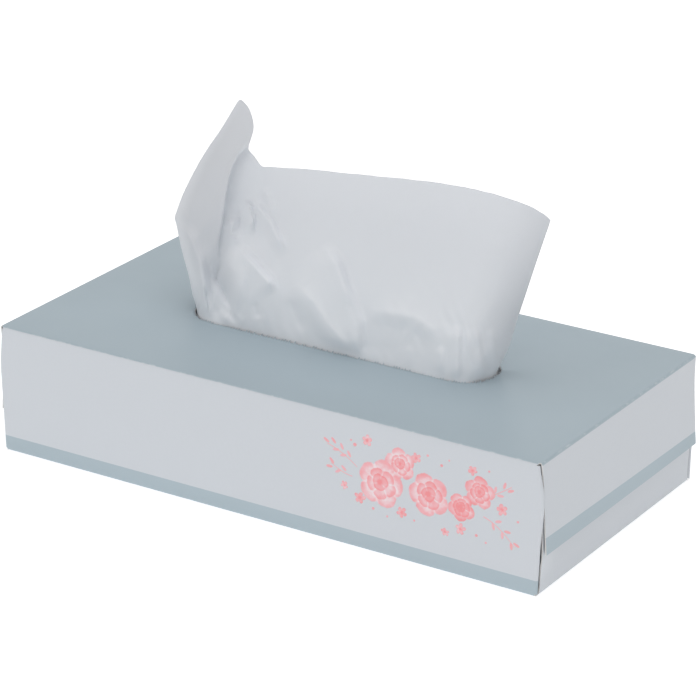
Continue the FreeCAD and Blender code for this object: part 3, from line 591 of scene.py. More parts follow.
def step(px, py, line, height, width, reach, flip=-1, ease=0.25):
    """A fold that drops steeply on one side of a line, within width, and
    gently on the other. flip -1 is the right of a line drawn downwards."""
    d, side, fade = crease(px, py, line, width, ease)
    sd = np.sign(side) * flip * d
    return height * fade * np.where(sd > 0, 1 - smooth(sd, 0, width), np.exp(np.minimum(sd, 0) / reach))


def relief(px, py):
    """How far the sheet comes towards the viewer, in mm."""
    z = np.zeros(px.shape)
    # the long soft crease down the wide panel
    z += step(px, py, [(322, 244), (336, 266), (343, 287), (351, 305), (357, 323), (359, 340), (359, 364)], 3.1, 10, 24, ease=0.2)
    z += ridge(px, py, [(346, 292), (354, 312), (361, 334), (363, 358)], -1.5, 3.5, 0.25)
    # a shallow hollow right of it, low, with a soft upper lip
    z += step(px, py, [(364, 306), (378, 311), (396, 313), (416, 317), (434, 330), (442, 352)], 1.7, 16, 14, flip=1, ease=0.3)
    # dent left of the crease, with its own rim
    z += step(px, py, [(290, 282), (302, 289), (315, 303), (326, 320), (343, 340), (360, 354)], 2.2, 20, 10, flip=1, ease=0.3)
    z += ridge(px, py, [(290, 296), (296, 316), (304, 334)], -1.0, 6, 0.35)
    # pleats where the sheet is gathered at the slot's right end
    z += step(px, py, [(456, 322), (456.5, 352), (456, 388)], 1.9, 7, 9)
    z += step(px, py, [(476, 326), (479.5, 352), (486, 384)], 1.2, 4, 9)
    z += step(px, py, [(441, 344), (442, 384)], 1.0, 5, 7)
    z += step(px, py, [(491, 326), (494, 350), (497, 374)], 0.9, 5, 7)
    z += step(px, py, [(408, 344), (411, 376)], 0.6, 8, 12)
    # the lit strip's edge at the left, and the crease at its foot
    z += step(px, py, [(183, 222), (191.5, 240), (199.5, 264), (203.5, 290), (207, 328)], 2.2, 9, 6, ease=0.15)
    z += ridge(px, py, [(205.5, 286), (207.5, 304), (210, 328)], -1.5, 1.8, 0.22)
    # the lit facet low at the left, and the creases that bound it
    z += ridge(px, py, [(221, 258), (216.5, 279), (223.5, 292), (230, 306), (233, 326)], -1.9, 2.8, 0.2)
    z += step(px, py, [(240, 246), (246, 257), (257, 270), (267, 281), (275, 294)], 2.8, 8, 12, ease=0.25)
    z += step(px, py, [(240, 262), (243, 284), (246, 304)], 0.8, 6, 8)
    z += ridge(px, py, [(255, 300), (259, 320)], -0.8, 4.0, 0.35)
    # shallow folds in the shaded part above it
    z += step(px, py, [(252, 196), (258, 208), (269, 222), (277, 238), (286, 256)], 2.7, 8, 9, ease=0.28)
    z += step(px, py, [(240, 202), (249, 206), (252, 220), (250, 236)], 2.2, 5, 8, ease=0.3)
    z += ridge(px, py, [(237.5, 204), (240, 220), (241, 238)], -1.4, 2.2, 0.35)
    z += ridge(px, py, [(231, 216), (233, 232), (237, 248)], 1.8, 2.8, 0.35)
    z += ridge(px, py, [(264, 186), (270, 204), (274, 220)], 1.4, 4.0, 0.35)
    return 1.3 * z


def pleat(px, py, size, turn, seed):
    """Long soft creases in one direction, here and there."""
    t = (px * math.cos(turn) + py * math.sin(turn)) / size + 0.5 * noise(px, py, size * 2.4, seed)
    w = np.abs(t - np.floor(t) - 0.5)
    return (np.sqrt(w * w + 0.004) - 0.25) * smooth(noise(px, py, size * 1.9, seed + 1), -0.1, 0.6)


def crumple(x, y, size, seed):
    """Creased noise: rounded facets with sharper lines between them."""
    n = noise(x, y, size, seed) + 0.5 * noise(x + 3.1 * noise(x, y, size * 1.7, seed + 1), y, size * 0.52, seed + 2)
    return np.abs(n) - 0.45


px, py = project(sheet_pts)
U, Vv = np.meshgrid(u, tv, indexing="ij")
rise = sheet_pts[:, :, 2] - H
front = 1 - smooth(U, u_fold - 9, u_fold)
z = relief(px, py)
low_left = smooth(px, 300, 225) * smooth(py, 150, 230)
wide = smooth(px, 255, 300)
foot = smooth(py, 290, 360)
z = z + crumple(px, py * 0.8, 30.0, 8) * (0.15 + 0.40 * low_left + 0.30 * foot)
z = z + pleat(px, py, 19.0, 0.45, 50) * (0.4 + 1.5 * low_left + 1.6 * foot)
z = z + pleat(px, py, 13.0, -0.35, 54) * (0.2 + 1.1 * low_left + 1.3 * foot)
z = z + pleat(px, py, 26.0, 1.15, 58) * (0.3 + 1.2 * low_left)
z = z + wide * 0.8 * noise(px, py * 0.6, 60.0, 14)
low = smooth(rise, -0.5, 6.0)
move = z * front * low
sheet_pts = sheet_pts + (-fwd)[None, None, :] * move[..., None]
# the part behind gets folds of its own
behind = smooth(U, u_fold + 4, u_fold + 16) * smooth(rise, 0, 10)
sheet_pts[:, :, 1] += behind * (1.1 * crumple(sheet_pts[:, :, 0], sheet_pts[:, :, 2], 9.0, 30)
                                + 0.8 * crumple(sheet_pts[:, :, 0], sheet_pts[:, :, 2], 20.0, 33))
# hand-cut look of the upper edge: it isn't quite straight
sheet_pts[:, -6:, 2] += (0.14 * noise(U[:, -6:], U[:, -6:] * 0, 7.0, 41) + 0.07 * noise(U[:, -6:], U[:, -6:] * 0, 2.4, 42)) * np.linspace(0, 1, 6)

# Below the slot: down on to the stack, back over it, and the fold's under side
neck = sheet_pts[:, 0, :2].copy()
foot_x = catmull(uc, np.array(FOOT_X, float), u)
layer = smooth(u, u_fold - 1, u_fold + 8)           # the part wrapped behind lies on top
down = []
z_main = 43.92 + 0.42 * layer
for k, t in enumerate(np.linspace(0, 1, 9)[1:]):
    zz = H + (z_main + 1.6 - H) * t
    w = 0.04 * t * t
    down.append(np.column_stack([neck[:, 0] + (foot_x - neck[:, 0]) * w, neck[:, 1] + 0.1 * t, zz]))
bend = []
y0 = neck[:, 1] + 0.1
for k, t in enumerate(np.linspace(0, 1, 6)[1:]):
    a = t * math.pi / 2
    w = 0.04 + 0.05 * t
    bend.append(np.column_stack([neck[:, 0] + (foot_x - neck[:, 0]) * w, y0 + 1.6 * (1 - math.cos(a)), z_main + 1.6 * (1 - math.sin(a))]))
flat_rows = []
y1 = y0 + 1.6
for k, t in enumerate(np.linspace(0, 1, 15)[1:]):
    w = 0.09 + 0.91 * smooth(np.full(1, t), 0, 0.7)[0]
    yy = y1 + (45.2 - y1) * t
    zz = z_main + 0.05 * np.sin(foot_x / 9.0 + yy / 7.0) * math.sin(math.pi * t)
    flat_rows.append(np.column_stack([neck[:, 0] + (foot_x - neck[:, 0]) * w, yy, zz]))
turn_rows = []
z_low = 43.60 + 0.0 * layer
for k, t in enumerate(np.linspace(0, 1, 6)[1:]):
    a = t * math.pi
    c = (z_main + z_low) / 2
    r = (z_main - z_low) / 2
    turn_rows.append(np.column_stack([foot_x, 45.2 + 0.55 * math.sin(a) + 0 * foot_x, c + r * math.cos(a)]))
under_rows = []
for k, t in enumerate(np.linspace(0, 1, 10)[1:]):
    under_rows.append(np.column_stack([foot_x, 45.2 - 56.0 * t + 0 * foot_x, z_low]))
below = np.array(down + bend + flat_rows + turn_rows + under_rows)   # rows x NU x 3
rows = np.concatenate([below[::-1], np.transpose(sheet_pts, (1, 0, 2))], axis=0)
NR = len(rows)
steps = np.linalg.norm(np.diff(rows, axis=0), axis=2).mean(axis=1)
length = np.concatenate([[0], np.cumsum(steps)])
blank = np.zeros((NR, NU, 3))
blank[:, :, 0] = u[None, :] * 205.0 / WIDE
blank[:, :, 1] = length[:, None]
idx = np.arange(NR * NU).reshape(NR, NU)
quads = np.stack([idx[:-1, :-1], idx[:-1, 1:], idx[1:, 1:], idx[1:, :-1]], axis=-1).reshape(-1, 4)
tissue = new_object("raised_sheet", rows.reshape(-1, 3), quads.tolist(), blank.reshape(-1, 3))
thicken(tissue, 0.22, 0.0)
shade(tissue, 60)

# ------------------------------------------------------------------ stack
# Interfolded sheets: a block whose long sides show rounded folds, and whose
# ends show cut edges.
SX, SY, Z0, Z1 = 103.0, 52.0, 0.6, 43.44
PER = 40
rng = np.random.default_rng(77)
n_row = PER * 4 + 1
t = np.linspace(0, 1, n_row)
zr = Z0 + (Z1 - Z0) * t
edge_round = 5.0
shift = rng.normal(0, 0.22, PER + 1)
ridge_no = np.clip((t * PER).astype(int), 0, PER - 1)
phase = t * PER - ridge_no
bulge = 0.22 * np.sin(np.pi * phase) - 0.22
lip = np.where(zr < Z0 + edge_round, edge_round - np.sqrt(np.clip(edge_round ** 2 - (Z0 + edge_round - zr) ** 2, 0, None)),
               np.where(zr > Z1 - edge_round, edge_round - np.sqrt(np.clip(edge_round ** 2 - (zr - Z1 + edge_round) ** 2, 0, None)), 0))
nxs, nys = 72, 26
sx = np.linspace(-1, 1, nxs)
sy = np.linspace(-1, 1, nys)
ring_xy = np.array([(a, -1) for a in sx[:-1]] + [(1, a) for a in sy[:-1]]
                   + [(-a, 1) for a in sx[:-1]] + [(-1, -a) for a in sy[:-1]], float)
verts, faces = [], []
for k in range(n_row):
    half_y = (SY - 0.15 - lip[k] + bulge[k] + 0.12 * noise(ring_xy[:, 0] * SX, zr[k] + 0 * ring_xy[:, 0], 24.0, 61)
              + shift[ridge_no[k]] * 0.3 * math.sin(math.pi * phase[k]))
    half_x = SX - 0.25 + 0.07 * math.sin(2 * math.pi * phase[k]) + 0.10 * noise(ring_xy[:, 1] * SY, zr[k] * 2 + 0 * ring_xy[:, 1], 9.0, 62)
    verts.append(np.column_stack([ring_xy[:, 0] * np.minimum(half_x, SX), ring_xy[:, 1] * np.minimum(half_y, SY), np.full(len(ring_xy), zr[k])]))
n_ring = len(ring_xy)
verts = np.array(verts)
for k in range(n_row - 1):
    for j in range(n_ring):
        q = (j + 1) % n_ring
        faces.append((k * n_ring + j, k * n_ring + q, (k + 1) * n_ring + q, (k + 1) * n_ring + j))
flat_v = list(verts.reshape(-1, 3))


def cap(k, flip):
    """Close a level with a grid of quads."""
    ring = verts[k]
    ids = np.zeros((nxs, nys), int)
    for i in range(nxs):
        for j in range(nys):
            on = None
            if j == 0 and i < nxs - 1:
                on = i
            elif i == nxs - 1 and j < nys - 1:
                on = (nxs - 1) + j
            elif j == nys - 1 and i > 0:
                on = (nxs - 1) + (nys - 1) + (nxs - 1 - i)
            elif i == 0 and j > 0:
                on = 2 * (nxs - 1) + (nys - 1) + (nys - 1 - j)
            if on is not None:
                ids[i, j] = k * n_ring + on
            else:
                ids[i, j] = len(flat_v)
                flat_v.append(np.array([np.abs(ring[:, 0]).max() * sx[i], np.abs(ring[:, 1]).max() * sy[j], ring[0, 2]]))
    for i in range(nxs - 1):
        for j in range(nys - 1):
            f = (ids[i, j], ids[i + 1, j], ids[i + 1, j + 1], ids[i, j + 1])
            faces.append(f[::-1] if flip else f)


cap(n_row - 1, False)
cap(0, True)
stack = new_object("tissue_pack", np.array(flat_v), faces)
shade(stack, 55)

# ---------------------------------------------------------------- materials


class Graph:
    """A material whose nodes are made by arithmetic on its values."""

    def __init__(self, name):
        self.mat = bpy.data.materials.new(name)
        self.mat.use_nodes = True
        self.tree = self.mat.node_tree
        self.tree.nodes.clear()
        self.out = self.tree.nodes.new("ShaderNodeOutputMaterial")
        self.bsdf = self.tree.nodes.new("ShaderNodeBsdfPrincipled")
        self.tree.links.new(self.bsdf.outputs["BSDF"], self.out.inputs["Surface"])
        self.count = 0

    def new(self, kind, **props):
        n = self.tree.nodes.new(kind)
        n.location = (-200 - 180 * (self.count // 12), 300 - 120 * (self.count % 12))
        self.count += 1
        for k, v in props.items():
            setattr(n, k, v)
        return n

    def put(self, socket, value):
        if isinstance(value, Val):
            self.tree.links.new(value.s, socket)
        elif isinstance(value, bpy.types.NodeSocket):
            self.tree.links.new(value, socket)
        else:
            socket.default_value = value

    def math(self, op, a, b=None, c=None, clamp=False):
        n = self.new("ShaderNodeMath", operation=op, use_clamp=clamp)
        self.put(n.inputs[0], a)
        if b is not None:
            self.put(n.inputs[1], b)
        if c is not None:
            self.put(n.inputs[2], c)
        return Val(self, n.outputs[0])

    def ramp(self, v, a, b, lo=0.0, hi=1.0, soft=True):
        n = self.new("ShaderNodeMapRange", interpolation_type="SMOOTHSTEP" if soft else "LINEAR", clamp=True)
        self.put(n.inputs["Value"], v)
        for key, val in (("From Min", a), ("From Max", b), ("To Min", lo), ("To Max", hi)):
            self.put(n.inputs[key], val)
        return Val(self, n.outputs["Result"])

    def mix(self, fac, a, b):
        n = self.new("ShaderNodeMix", data_type="RGBA", blend_type="MIX")
        self.put(n.inputs[0], fac)
        self.put(n.inputs[6], a)
        self.put(n.inputs[7], b)
        return n.outputs[2]

    def noise(self, vector, scale, detail=2.0, rough=0.5, distortion=0.0):
        n = self.new("ShaderNodeTexNoise")
        self.put(n.inputs["Vector"], vector)
        n.inputs["Scale"].default_value = scale
        n.inputs["Detail"].default_value = detail
        n.inputs["Roughness"].default_value = rough
        n.inputs["Distortion"].default_value = distortion
        return Val(self, n.outputs["Fac"])

    def attribute(self, name):
        n = self.new("ShaderNodeAttribute", attribute_name=name)
        return n.outputs["Vector"]

    def split(self, vector):
        n = self.new("ShaderNodeSeparateXYZ")
        self.put(n.inputs[0], vector)
        return [Val(self, n.outputs[k]) for k in range(3)]

    def join(self, x, y, z=0.0):
        n = self.new("ShaderNodeCombineXYZ")
        for k, v in enumerate((x, y, z)):
            self.put(n.inputs[k], v)
        return n.outputs[0]

    def bump(self, height, strength, distance, normal=None):
        n = self.new("ShaderNodeBump")
        n.inputs["Strength"].default_value = strength
        n.inputs["Distance"].default_value = distance
        self.put(n.inputs["Height"], height)
        if normal is not None:
            self.put(n.inputs["Normal"], normal)
        return n.outputs["Normal"]


class Val:
    def __init__(self, g, s):
        self.g, self.s = g, s

    def __add__(self, o): return self.g.math("ADD", self, o)
    def __radd__(self, o): return self.g.math("ADD", o, self)
    def __sub__(self, o): return self.g.math("SUBTRACT", self, o)
    def __rsub__(self, o): return self.g.math("SUBTRACT", o, self)
    def __mul__(self, o): return self.g.math("MULTIPLY", self, o)
    def __rmul__(self, o): return self.g.math("MULTIPLY", o, self)
    def __truediv__(self, o): return self.g.math("DIVIDE", self, o)
    def __pow__(self, o): return self.g.math("POWER", self, o)
    def __abs__(self): return self.g.math("ABSOLUTE", self)


WHITE = (0.641, 0.671, 0.711, 1)
BLUE = (0.440, 0.522, 0.571, 1)
DARK = (0.90, 0.32, 0.335, 1)
MID = (0.89, 0.475, 0.508, 1)
PALE = (0.885, 0.745, 0.775, 1)


def art(g, base, u, v, wash, grain):
    """A loose spray of watercolour blossoms, florets and sprigs. u runs along
    the panel and v up it, in mm; base is the colour under it."""
    uw = u + (wash - 0.5) * 1.5
    vw = v + (grain - 0.5) * 1.5

    def local(cx, cy, rot, warp=True):
        dx, dy = (uw if warp else u) - cx, (vw if warp else v) - cy
        c, s = math.cos(rot), math.sin(rot)
        return dx * c + dy * s, dy * c - dx * s

    def petals(col, cx, cy, R, rot, n, depth, low, high, gap=0.45, rim=0.5, core=0.5, alpha=0.96):
        dx, dy = local(cx, cy, rot)
        r = g.math("SQRT", dx * dx + dy * dy)
        th = g.math("ARCTAN2", dy, dx)
        lobe = abs(g.math("COSINE", th * (n / 2.0)))
        edge = R * (1 - depth) + (lobe ** 0.7) * (R * depth)
        q = r / edge
        mask = g.ramp(q, 1.03, 0.97, 0, alpha)
        tone = g.ramp(q, 0.62, 1.0, 0, rim) + g.ramp(q, 0.55, 0.0, 0, core) + low
        tone = tone + (wash - 0.5) * 1.5
        if gap:
            tone = tone - g.ramp(lobe, 0.34, 0.0, 0, gap) * g.ramp(q, 0.2, 0.5)
        tone = g.math("MULTIPLY", tone, high, clamp=True)
        c1 = g.mix(g.ramp(tone, 0.0, 0.5, soft=False), PALE, MID)
        c2 = g.mix(g.ramp(tone, 0.5, 1.0, soft=False), c1, DARK)
        return g.mix(mask, col, c2)

    def spot(col, cx, cy, a, b, rot, tone, alpha=0.9, warp=False):
        dx, dy = local(cx, cy, rot, warp)
        q = (dx * dx) * (1.0 / (a * a)) + (dy * dy) * (1.0 / (b * b))
        mask = g.ramp(q, 1.15, 0.8, 0, alpha)
        c = tuple(MID[k] * (1 - tone) + DARK[k] * tone for k in range(3)) + (1,)
        return g.mix(mask, col, c)

    def stem(col, x0, x1, a, b, c, tone=0.35, thick=0.16):
        """v = a + b (u - x0) + c (u - x0)^2 between x0 and x1."""
        d = u - x0
        line = v - (a + d * b + (d * d) * c)
        slope = 1.0 / math.sqrt(1 + (b + c * (x1 - x0)) ** 2)
        mask = g.ramp(abs(line) * slope, thick * 1.4, thick * 0.7)
        lo, hi = min(x0, x1), max(x0, x1)
        mask = mask * g.ramp(u, lo - 0.1, lo + 0.2) * g.ramp(u, hi + 0.1, hi - 0.2) * 0.8
        cc = tuple(MID[k] * (1 - tone) + DARK[k] * tone for k in range(3)) + (1,)
        return g.mix(mask, col, cc)

    col = base
    # sprigs first, so that the blossoms lie over them
    col = stem(col, 42.0, 29.5, 31.0, -0.75, -0.02)
    col = stem(col, 40.0, 31.0, 27.0, -0.05, 0.035)
    for cx, cy, rot in ((38.6, 35.2, 2.1), (36.2, 34.2, 3.4), (35.6, 37.4, 2.0), (33.2, 35.7, 3.3), (32.2, 38.9, 2.3),
                        (29.2, 38.4, 2.6), (36.4, 29.2, 2.4), (34.0, 27.6, 3.7), (31.4, 31.0, 2.3), (30.4, 28.6, 3.2)):
        col = spot(col, cx, cy, 1.35, 0.55, rot, 0.15 if cx > 33 else 0.5)
    col = stem(col, 93.0, 105.5, 25.0, -0.25, -0.035)
    col = stem(col, 95.0, 104.0, 33.0, 0.55, 0.01)
    for cx, cy, rot in ((97.0, 22.2, -1.3), (99.0, 24.6, 0.3), (100.6, 19.8, -1.5), (102.6, 21.6, 0.0), (104.2, 16.6, -1.4),
                        (106.2, 17.6, -0.4), (97.6, 36.2, 1.4), (99.6, 34.4, 0.1), (101.2, 38.6, 1.3), (103.6, 37.2, 0.4)):
        col = spot(col, cx, cy, 1.35, 0.55, rot, 0.1 if cx < 101 else 0.45)
    # florets
    for cx, cy, R, rot in ((46.0, 42.2, 2.1, 0.3), (60.4, 18.2, 2.2, 0.9), (43.2, 19.6, 2.3, 0.1), (66.0, 40.4, 2.0, 0.6),
                           (84.0, 18.0, 2.2, 0.2), (88.6, 41.2, 1.9, 1.0), (100.4, 29.4, 2.2, 0.5), (36.6, 22.8, 1.6, 0.8),
                           (78.0, 15.4, 1.6, 0.4)):
        col = petals(col, cx, cy, R, rot, 5, 0.55, 0.45, 1.0, gap=0.0, rim=0.3, core=0.7)
    # blossoms, from the back to the front
    for cx, cy, R, rot, low in ((59.5, 36.4, 6.2, 0.5, 0.16), (91.4, 33.6, 6.0, 0.2, 0.30), (84.2, 26.2, 5.4, 0.9, 0.42),
                                (51.6, 27.2, 9.2, 0.1, 0.12), (71.2, 27.6, 8.2, 0.7, 0.22)):
        col = petals(col, cx, cy, R, rot, 5, 0.22, low, 1.0)
        col = petals(col, cx + 0.03 * R, cy - 0.02 * R, R * 0.66, rot + 0.7, 5, 0.20, low + 0.18, 1.0, gap=0.5)
        col = petals(col, cx - 0.02 * R, cy + 0.04 * R, R * 0.36, rot + 0.2, 3, 0.16, low + 0.45, 1.0, gap=0.35, rim=0.35)
    # stray buds and specks
    for cx, cy, a, tone in ((41.0, 39.4, 0.75, 0.7), (39.4, 40.8, 0.45, 0.3), (48.6, 16.8, 0.6, 0.5), (54.4, 15.2, 0.45, 0.2),
                            (70.6, 42.4, 0.5, 0.4), (76.2, 40.0, 0.6, 0.8), (79.2, 42.6, 0.4, 0.2), (90.4, 17.2, 0.6, 0.6),
                            (94.2, 15.4, 0.45, 0.3), (65.4, 16.4, 0.45, 0.5), (106.6, 26.4, 0.5, 0.5), (95.0, 42.4, 0.45, 0.4)):
        col = spot(col, cx, cy, a, a * 0.9, 0.3, tone)
    return col


def board_material(name, with_art):
    g = Graph(name)
    blank = g.attribute("blank")
    x, s, _ = g.split(blank)
    mm = g.new("ShaderNodeTexCoord").outputs["Object"]
    ax = abs(x)
    fibre = g.noise(mm, 900.0, 3.0, 0.6)
    cloud = g.noise(mm, 14.0, 2.0, 0.5)
    # where the ink is: the top with a sliver over its end folds, a band along
    # the foot of the long walls, a band along the low edge of the end flaps
    wob = (g.noise(blank, 0.6, 1.0) - 0.5) * 0.10
    sw = s + wob
    xw = ax + wob
    on_top = g.math("MULTIPLY", g.ramp(sw, S_TOP - ARC * 0.55, S_TOP - ARC * 0.35), g.ramp(sw, S_FRONT - ARC * 0.35, S_FRONT - ARC * 0.55))
    panel = on_top * g.ramp(xw, XA + ARC + 0.25, XA + ARC - 0.05)
    band_from = XA + ARC + (H - RO - FLAP_LOW) - 5.55
    slant = (s - (S_TOP + S_FRONT - ARC) * 0.5) * (0.75 / 57.0)
    flap_band = on_top * g.ramp(xw + slant, band_from - 0.1, band_from + 0.1)
    front_band = g.ramp(sw, S_FRONT + (H - RO - 6.1) - 0.1, S_FRONT + (H - RO - 6.1) + 0.1) * g.ramp(sw, S_BOTTOM - ARC * 0.4, S_BOTTOM - ARC * 0.6)
    back_band = g.ramp(sw, 5.9, 5.7) * g.ramp(ax, XA - 0.2, XA - 0.5)
    bands = g.math("MAXIMUM", front_band * g.ramp(ax, XA + 1.5, XA + 1.3), back_band)
    ink = g.math("MAXIMUM", g.math("MAXIMUM", panel, flap_band), bands)
    ink = g.math("MULTIPLY", ink, g.ramp(fibre, 0.30, 0.45, 0.97, 1.0), clamp=True)
    tint = g.mix(g.ramp(cloud, 0.3, 0.7, soft=False), (BLUE[0] * 0.985, BLUE[1] * 0.985, BLUE[2] * 0.985, 1),
                 (BLUE[0] * 1.015, BLUE[1] * 1.015, BLUE[2] * 1.015, 1))
    paper = g.mix(g.ramp(fibre, 0.25, 0.75, soft=False), (WHITE[0] * 0.985, WHITE[1] * 0.985, WHITE[2] * 0.985, 1), WHITE)
    if with_art:
        z = (S_FRONT + H - RO) - s
        wash = g.noise(blank, 0.22, 3.0, 0.62)
        grain = g.noise(g.join(s, x), 0.27, 3.0, 0.6)
        paper = art(g, paper, x, z, wash, grain)
    col = g.mix(ink, paper, tint)
    # the ink is rubbed thin along the folds
    folds = None
    for at_s in (S_TOP - ARC / 2, S_FRONT - ARC / 2, S_BOTTOM - ARC / 2):
        f = g.ramp(abs(s - at_s), 0.55, 0.1)
        folds = f if folds is None else g.math("MAXIMUM", folds, f)
    folds = g.math("MAXIMUM", folds, g.ramp(abs(ax - (XA + ARC * 0.5)), 0.5, 0.1) * on_top)
    rub = folds * g.ramp(g.noise(mm, 320.0, 3.0, 0.7), 0.48, 0.66, 0.0, 0.30)
    col = g.mix(rub, col, (0.80, 0.815, 0.83, 1))
    g.put(g.bsdf.inputs["Base Color"], col)
    g.put(g.bsdf.inputs["Roughness"], g.ramp(g.noise(mm, 60.0, 2.0), 0.3, 0.7, 0.30, 0.38) + rub * 0.4)
    g.bsdf.inputs["IOR"].default_value = 1.22
    n1 = g.bump(fibre, 0.05, 0.00002)
    n2 = g.bump(g.noise(mm, 26.0, 2.0, 0.5), 0.10, 0.0006, n1)
    g.put(g.bsdf.inputs["Normal"], n2)
    return g.mat


def raw_material(name, colour, rough):
    g = Graph(name)
    mm = g.new("ShaderNodeTexCoord").outputs["Object"]
    fibre = g.noise(mm, 700.0, 4.0, 0.7, 0.4)
    fleck = g.ramp(g.noise(mm, 260.0, 2.0, 0.5), 0.62, 0.72)
    c = g.mix(g.ramp(fibre, 0.3, 0.7, soft=False), tuple(k * 0.90 for k in colour) + (1,), tuple(colour) + (1,))
    c = g.mix(fleck * 0.35, c, tuple(k * 0.72 for k in colour) + (1,))
    g.put(g.bsdf.inputs["Base Color"], c)
    g.bsdf.inputs["Roughness"].default_value = rough
    g.put(g.bsdf.inputs["Normal"], g.bump(fibre, 0.35, 0.00008))
    return g.mat


def tissue_material(name, colour, sss):
    g = Graph(name)
    x, s, _ = g.split(g.attribute("blank"))
    # some light passes through the sheet (subsurface below); painted light: the sheet is made whiter low down, towards
    # the slot, to lift the shade that falls there
    at_slot, at_top = float(length[NR - NV]), float(length[-1])
    painted_light_fade = g.ramp(s, at_slot, at_slot + 0.8 * (at_top - at_slot), 0, 1)
    # crepe: short ragged ridges across the sheet, and loose fibres
    crepe = g.noise(g.join(x * 0.35, s * 2.6), 1.0, 3.0, 0.6, 0.25)
    fibre = g.noise(g.join(x * 1.3, s * 1.3), 2.2, 4.0, 0.75, 0.8)
    cloud = g.noise(g.join(x, s), 0.09, 2.0, 0.5)
    c = g.mix(g.ramp(fibre, 0.3, 0.7, soft=False), tuple(k * 0.975 for k in colour) + (1,), tuple(colour) + (1,))
    c = g.mix(g.ramp(cloud, 0.35, 0.7, 0, 0.5), c, tuple(k * 0.985 for k in colour) + (1,))
    # painted light: the whiter colour near the slot stands in for light, fading out towards the upper edge
    c = g.mix(painted_light_fade, (0.930, 0.950, 0.985, 1), c)
    # painted shade: darker at the right cut edge, where the sheet turns away, and over the left peak and the shaded
    # side of its crest, fading out towards the slot
    xl, xr = float(uc[12]) * 205.0 / WIDE, float(uc[17]) * 205.0 / WIDE
    free = g.math("MAXIMUM", g.ramp(x, 26.0, 4.0), g.ramp(x, xl - 4, xl + 5) * g.ramp(x, xr + 6, xr - 2, 0.3, 1.0))
    free = free * g.ramp(s, at_slot, at_slot + 0.45 * (at_top - at_slot))
    # painted shade: the sheet is darkened where this mask is set
    c = g.mix(free, c, (0.655, 0.675, 0.712, 1))
    g.put(g.bsdf.inputs["Base Color"], c)
    g.bsdf.inputs["Roughness"].default_value = 0.95
    g.bsdf.inputs["Specular IOR Level"].default_value = 0.2
    g.bsdf.inputs["Sheen Weight"].default_value = 0.12
    g.bsdf.inputs["Sheen Roughness"].default_value = 0.5
    g.bsdf.inputs["Subsurface Weight"].default_value = sss
    g.bsdf.inputs["Subsurface Radius"].default_value = (1.0, 0.95, 0.9)
    g.bsdf.inputs["Subsurface Scale"].default_value = 0.0012
    n1 = g.bump(fibre, 0.20, 0.00008)
    g.put(g.bsdf.inputs["Normal"], g.bump(crepe, 0.22, 0.00012, n1))
    return g.mat


def stack_material(name, colour):
    g = Graph(name)
    mm = g.new("ShaderNodeTexCoord").outputs["Object"]
    x, y, z = g.split(mm)
    lines = g.noise(g.join(x * 0.02, y * 0.02, z), 2400.0, 2.0, 0.6)
    fibre = g.noise(mm, 1500.0, 3.0, 0.7)
    c = g.mix(g.ramp(lines, 0.35, 0.65, soft=False), tuple(k * 0.90 for k in colour) + (1,), tuple(colour) + (1,))
    g.put(g.bsdf.inputs["Base Color"], c)
    g.bsdf.inputs["Roughness"].default_value = 0.95
    n1 = g.bump(fibre, 0.2, 0.0001)
    g.put(g.bsdf.inputs["Normal"], g.bump(lines, 0.4, 0.0002, n1))
    return g.mat


board = board_material("printed_board", False)
board_front = board_material("printed_board_front", True)
raw = raw_material("board_back", (0.70, 0.69, 0.66), 0.85)
cut = raw_material("board_cut_edge", (0.72, 0.71, 0.70), 0.85)
for mat in (board, raw, cut, board_front, raw, cut):
    carton.data.materials.append(mat)
thicken(carton, T, -1.0, inner=1, rim=2)
shade(carton, 40)
paper_white = tissue_material("soft_tissue", (0.742, 0.764, 0.804), 0.15)
tissue.data.materials.append(paper_white)
stack.data.materials.append(stack_material("tissue_pack_paper", (0.85, 0.865, 0.89)))
for node, mat in (("carton", board), ("tissue_stack", stack.data.materials[0]), ("raised_tissue", paper_white)):
    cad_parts[node].data.materials.clear()
    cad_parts[node].data.materials.append(mat)

# ------------------------------------------------------------ floor and light
me = bpy.data.meshes.new("floor")
me.from_pydata([(-8, -8, -0.0002), (8, -8, -0.0002), (8, 8, -0.0002), (-8, 8, -0.0002)], [], [(0, 1, 2, 3)])
floor = bpy.data.objects.new("floor", me)
scene.collection.objects.link(floor)
g = Graph("pale_floor")
mm = g.new("ShaderNodeTexCoord").outputs["Object"]
g.put(g.bsdf.inputs["Base Color"], g.mix(g.noise(mm, 3.0), (0.93, 0.93, 0.93, 1), (0.945, 0.945, 0.945, 1)))
g.bsdf.inputs["Roughness"].default_value = 0.9
g.bsdf.inputs["Emission Color"].default_value = (1, 1, 1, 1)
g.bsdf.inputs["Emission Strength"].default_value = 0.47     # lit from below as well
me.materials.append(g.mat)
floor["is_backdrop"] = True

world = bpy.data.worlds.new("studio")
scene.world = world
world.use_nodes = True
nt = world.node_tree
nt.nodes.clear()
w_out = nt.nodes.new("ShaderNodeOutputWorld")
w_bg = nt.nodes.new("ShaderNodeBackground")
w_tc = nt.nodes.new("ShaderNodeTexCoord")
w_sum = None
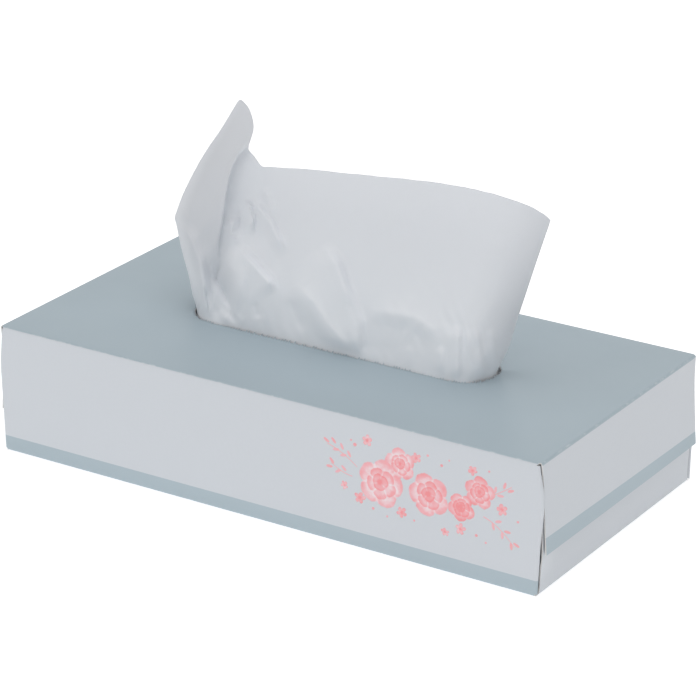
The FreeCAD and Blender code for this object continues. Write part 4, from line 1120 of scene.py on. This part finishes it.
# a soft room, dimmer at the left, with a bright wall behind the box
for direction, from_min, from_max, to_min, to_max in (((0.14, -0.79, 0.53), -0.2, 1.0, 0.12, 0.61),
                                                      ((-0.14, 0.92, 0.33), 0.60, 0.98, 0.0, 0.84)):
    w_dot = nt.nodes.new("ShaderNodeVectorMath")
    w_dot.operation = "DOT_PRODUCT"
    d = np.array(direction)
    w_dot.inputs[1].default_value = tuple(float(k) for k in d / np.linalg.norm(d))
    w_map = nt.nodes.new("ShaderNodeMapRange")
    w_map.interpolation_type = "SMOOTHSTEP"
    for key, val in (("From Min", from_min), ("From Max", from_max), ("To Min", to_min), ("To Max", to_max)):
        w_map.inputs[key].default_value = val
    nt.links.new(w_tc.outputs["Generated"], w_dot.inputs[0])
    nt.links.new(w_dot.outputs["Value"], w_map.inputs["Value"])
    if w_sum is None:
        w_sum = w_map.outputs["Result"]
    else:
        w_add = nt.nodes.new("ShaderNodeMath")
        nt.links.new(w_sum, w_add.inputs[0])
        nt.links.new(w_map.outputs["Result"], w_add.inputs[1])
        w_sum = w_add.outputs[0]
nt.links.new(w_sum, w_bg.inputs["Strength"])
w_bg.inputs["Color"].default_value = (1, 1, 1, 1)
nt.links.new(w_bg.outputs["Background"], w_out.inputs["Surface"])


def area_light(name, place, target, size, watts):
    data = bpy.data.lights.new(name, "AREA")
    data.shape = "RECTANGLE"
    data.size, data.size_y = size
    data.energy = watts
    ob = bpy.data.objects.new(name, data)
    scene.collection.objects.link(ob)
    v = np.array(place, float) - np.array(target, float)
    v /= np.linalg.norm(v)
    side = np.cross([0, 1, 0.001], v)
    side /= np.linalg.norm(side)
    top = np.cross(v, side)
    mw = Matrix.Identity(4)
    for r in range(3):
        mw[r][0], mw[r][1], mw[r][2], mw[r][3] = side[r], top[r], v[r], place[r]
    ob.matrix_world = mw


area_light("overhead", (0.1, -0.3, 2.4), (0, 0, 0), (2.4, 2.4), 24)

scene.view_settings.view_transform = "Standard"
scene.view_settings.look = "None"
scene.view_settings.exposure = 0.0
scene.view_settings.gamma = 1.0

# --------------------------------------------------------------- attaching the pieces, hiding the CAD parts
for piece, node, slot in ((carton, "carton", "printed_board"), (stack, "tissue_stack", "stack_paper"),
                          (tissue, "raised_tissue", "tissue_paper")):
    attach(piece, "root")
    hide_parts(node)

low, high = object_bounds()
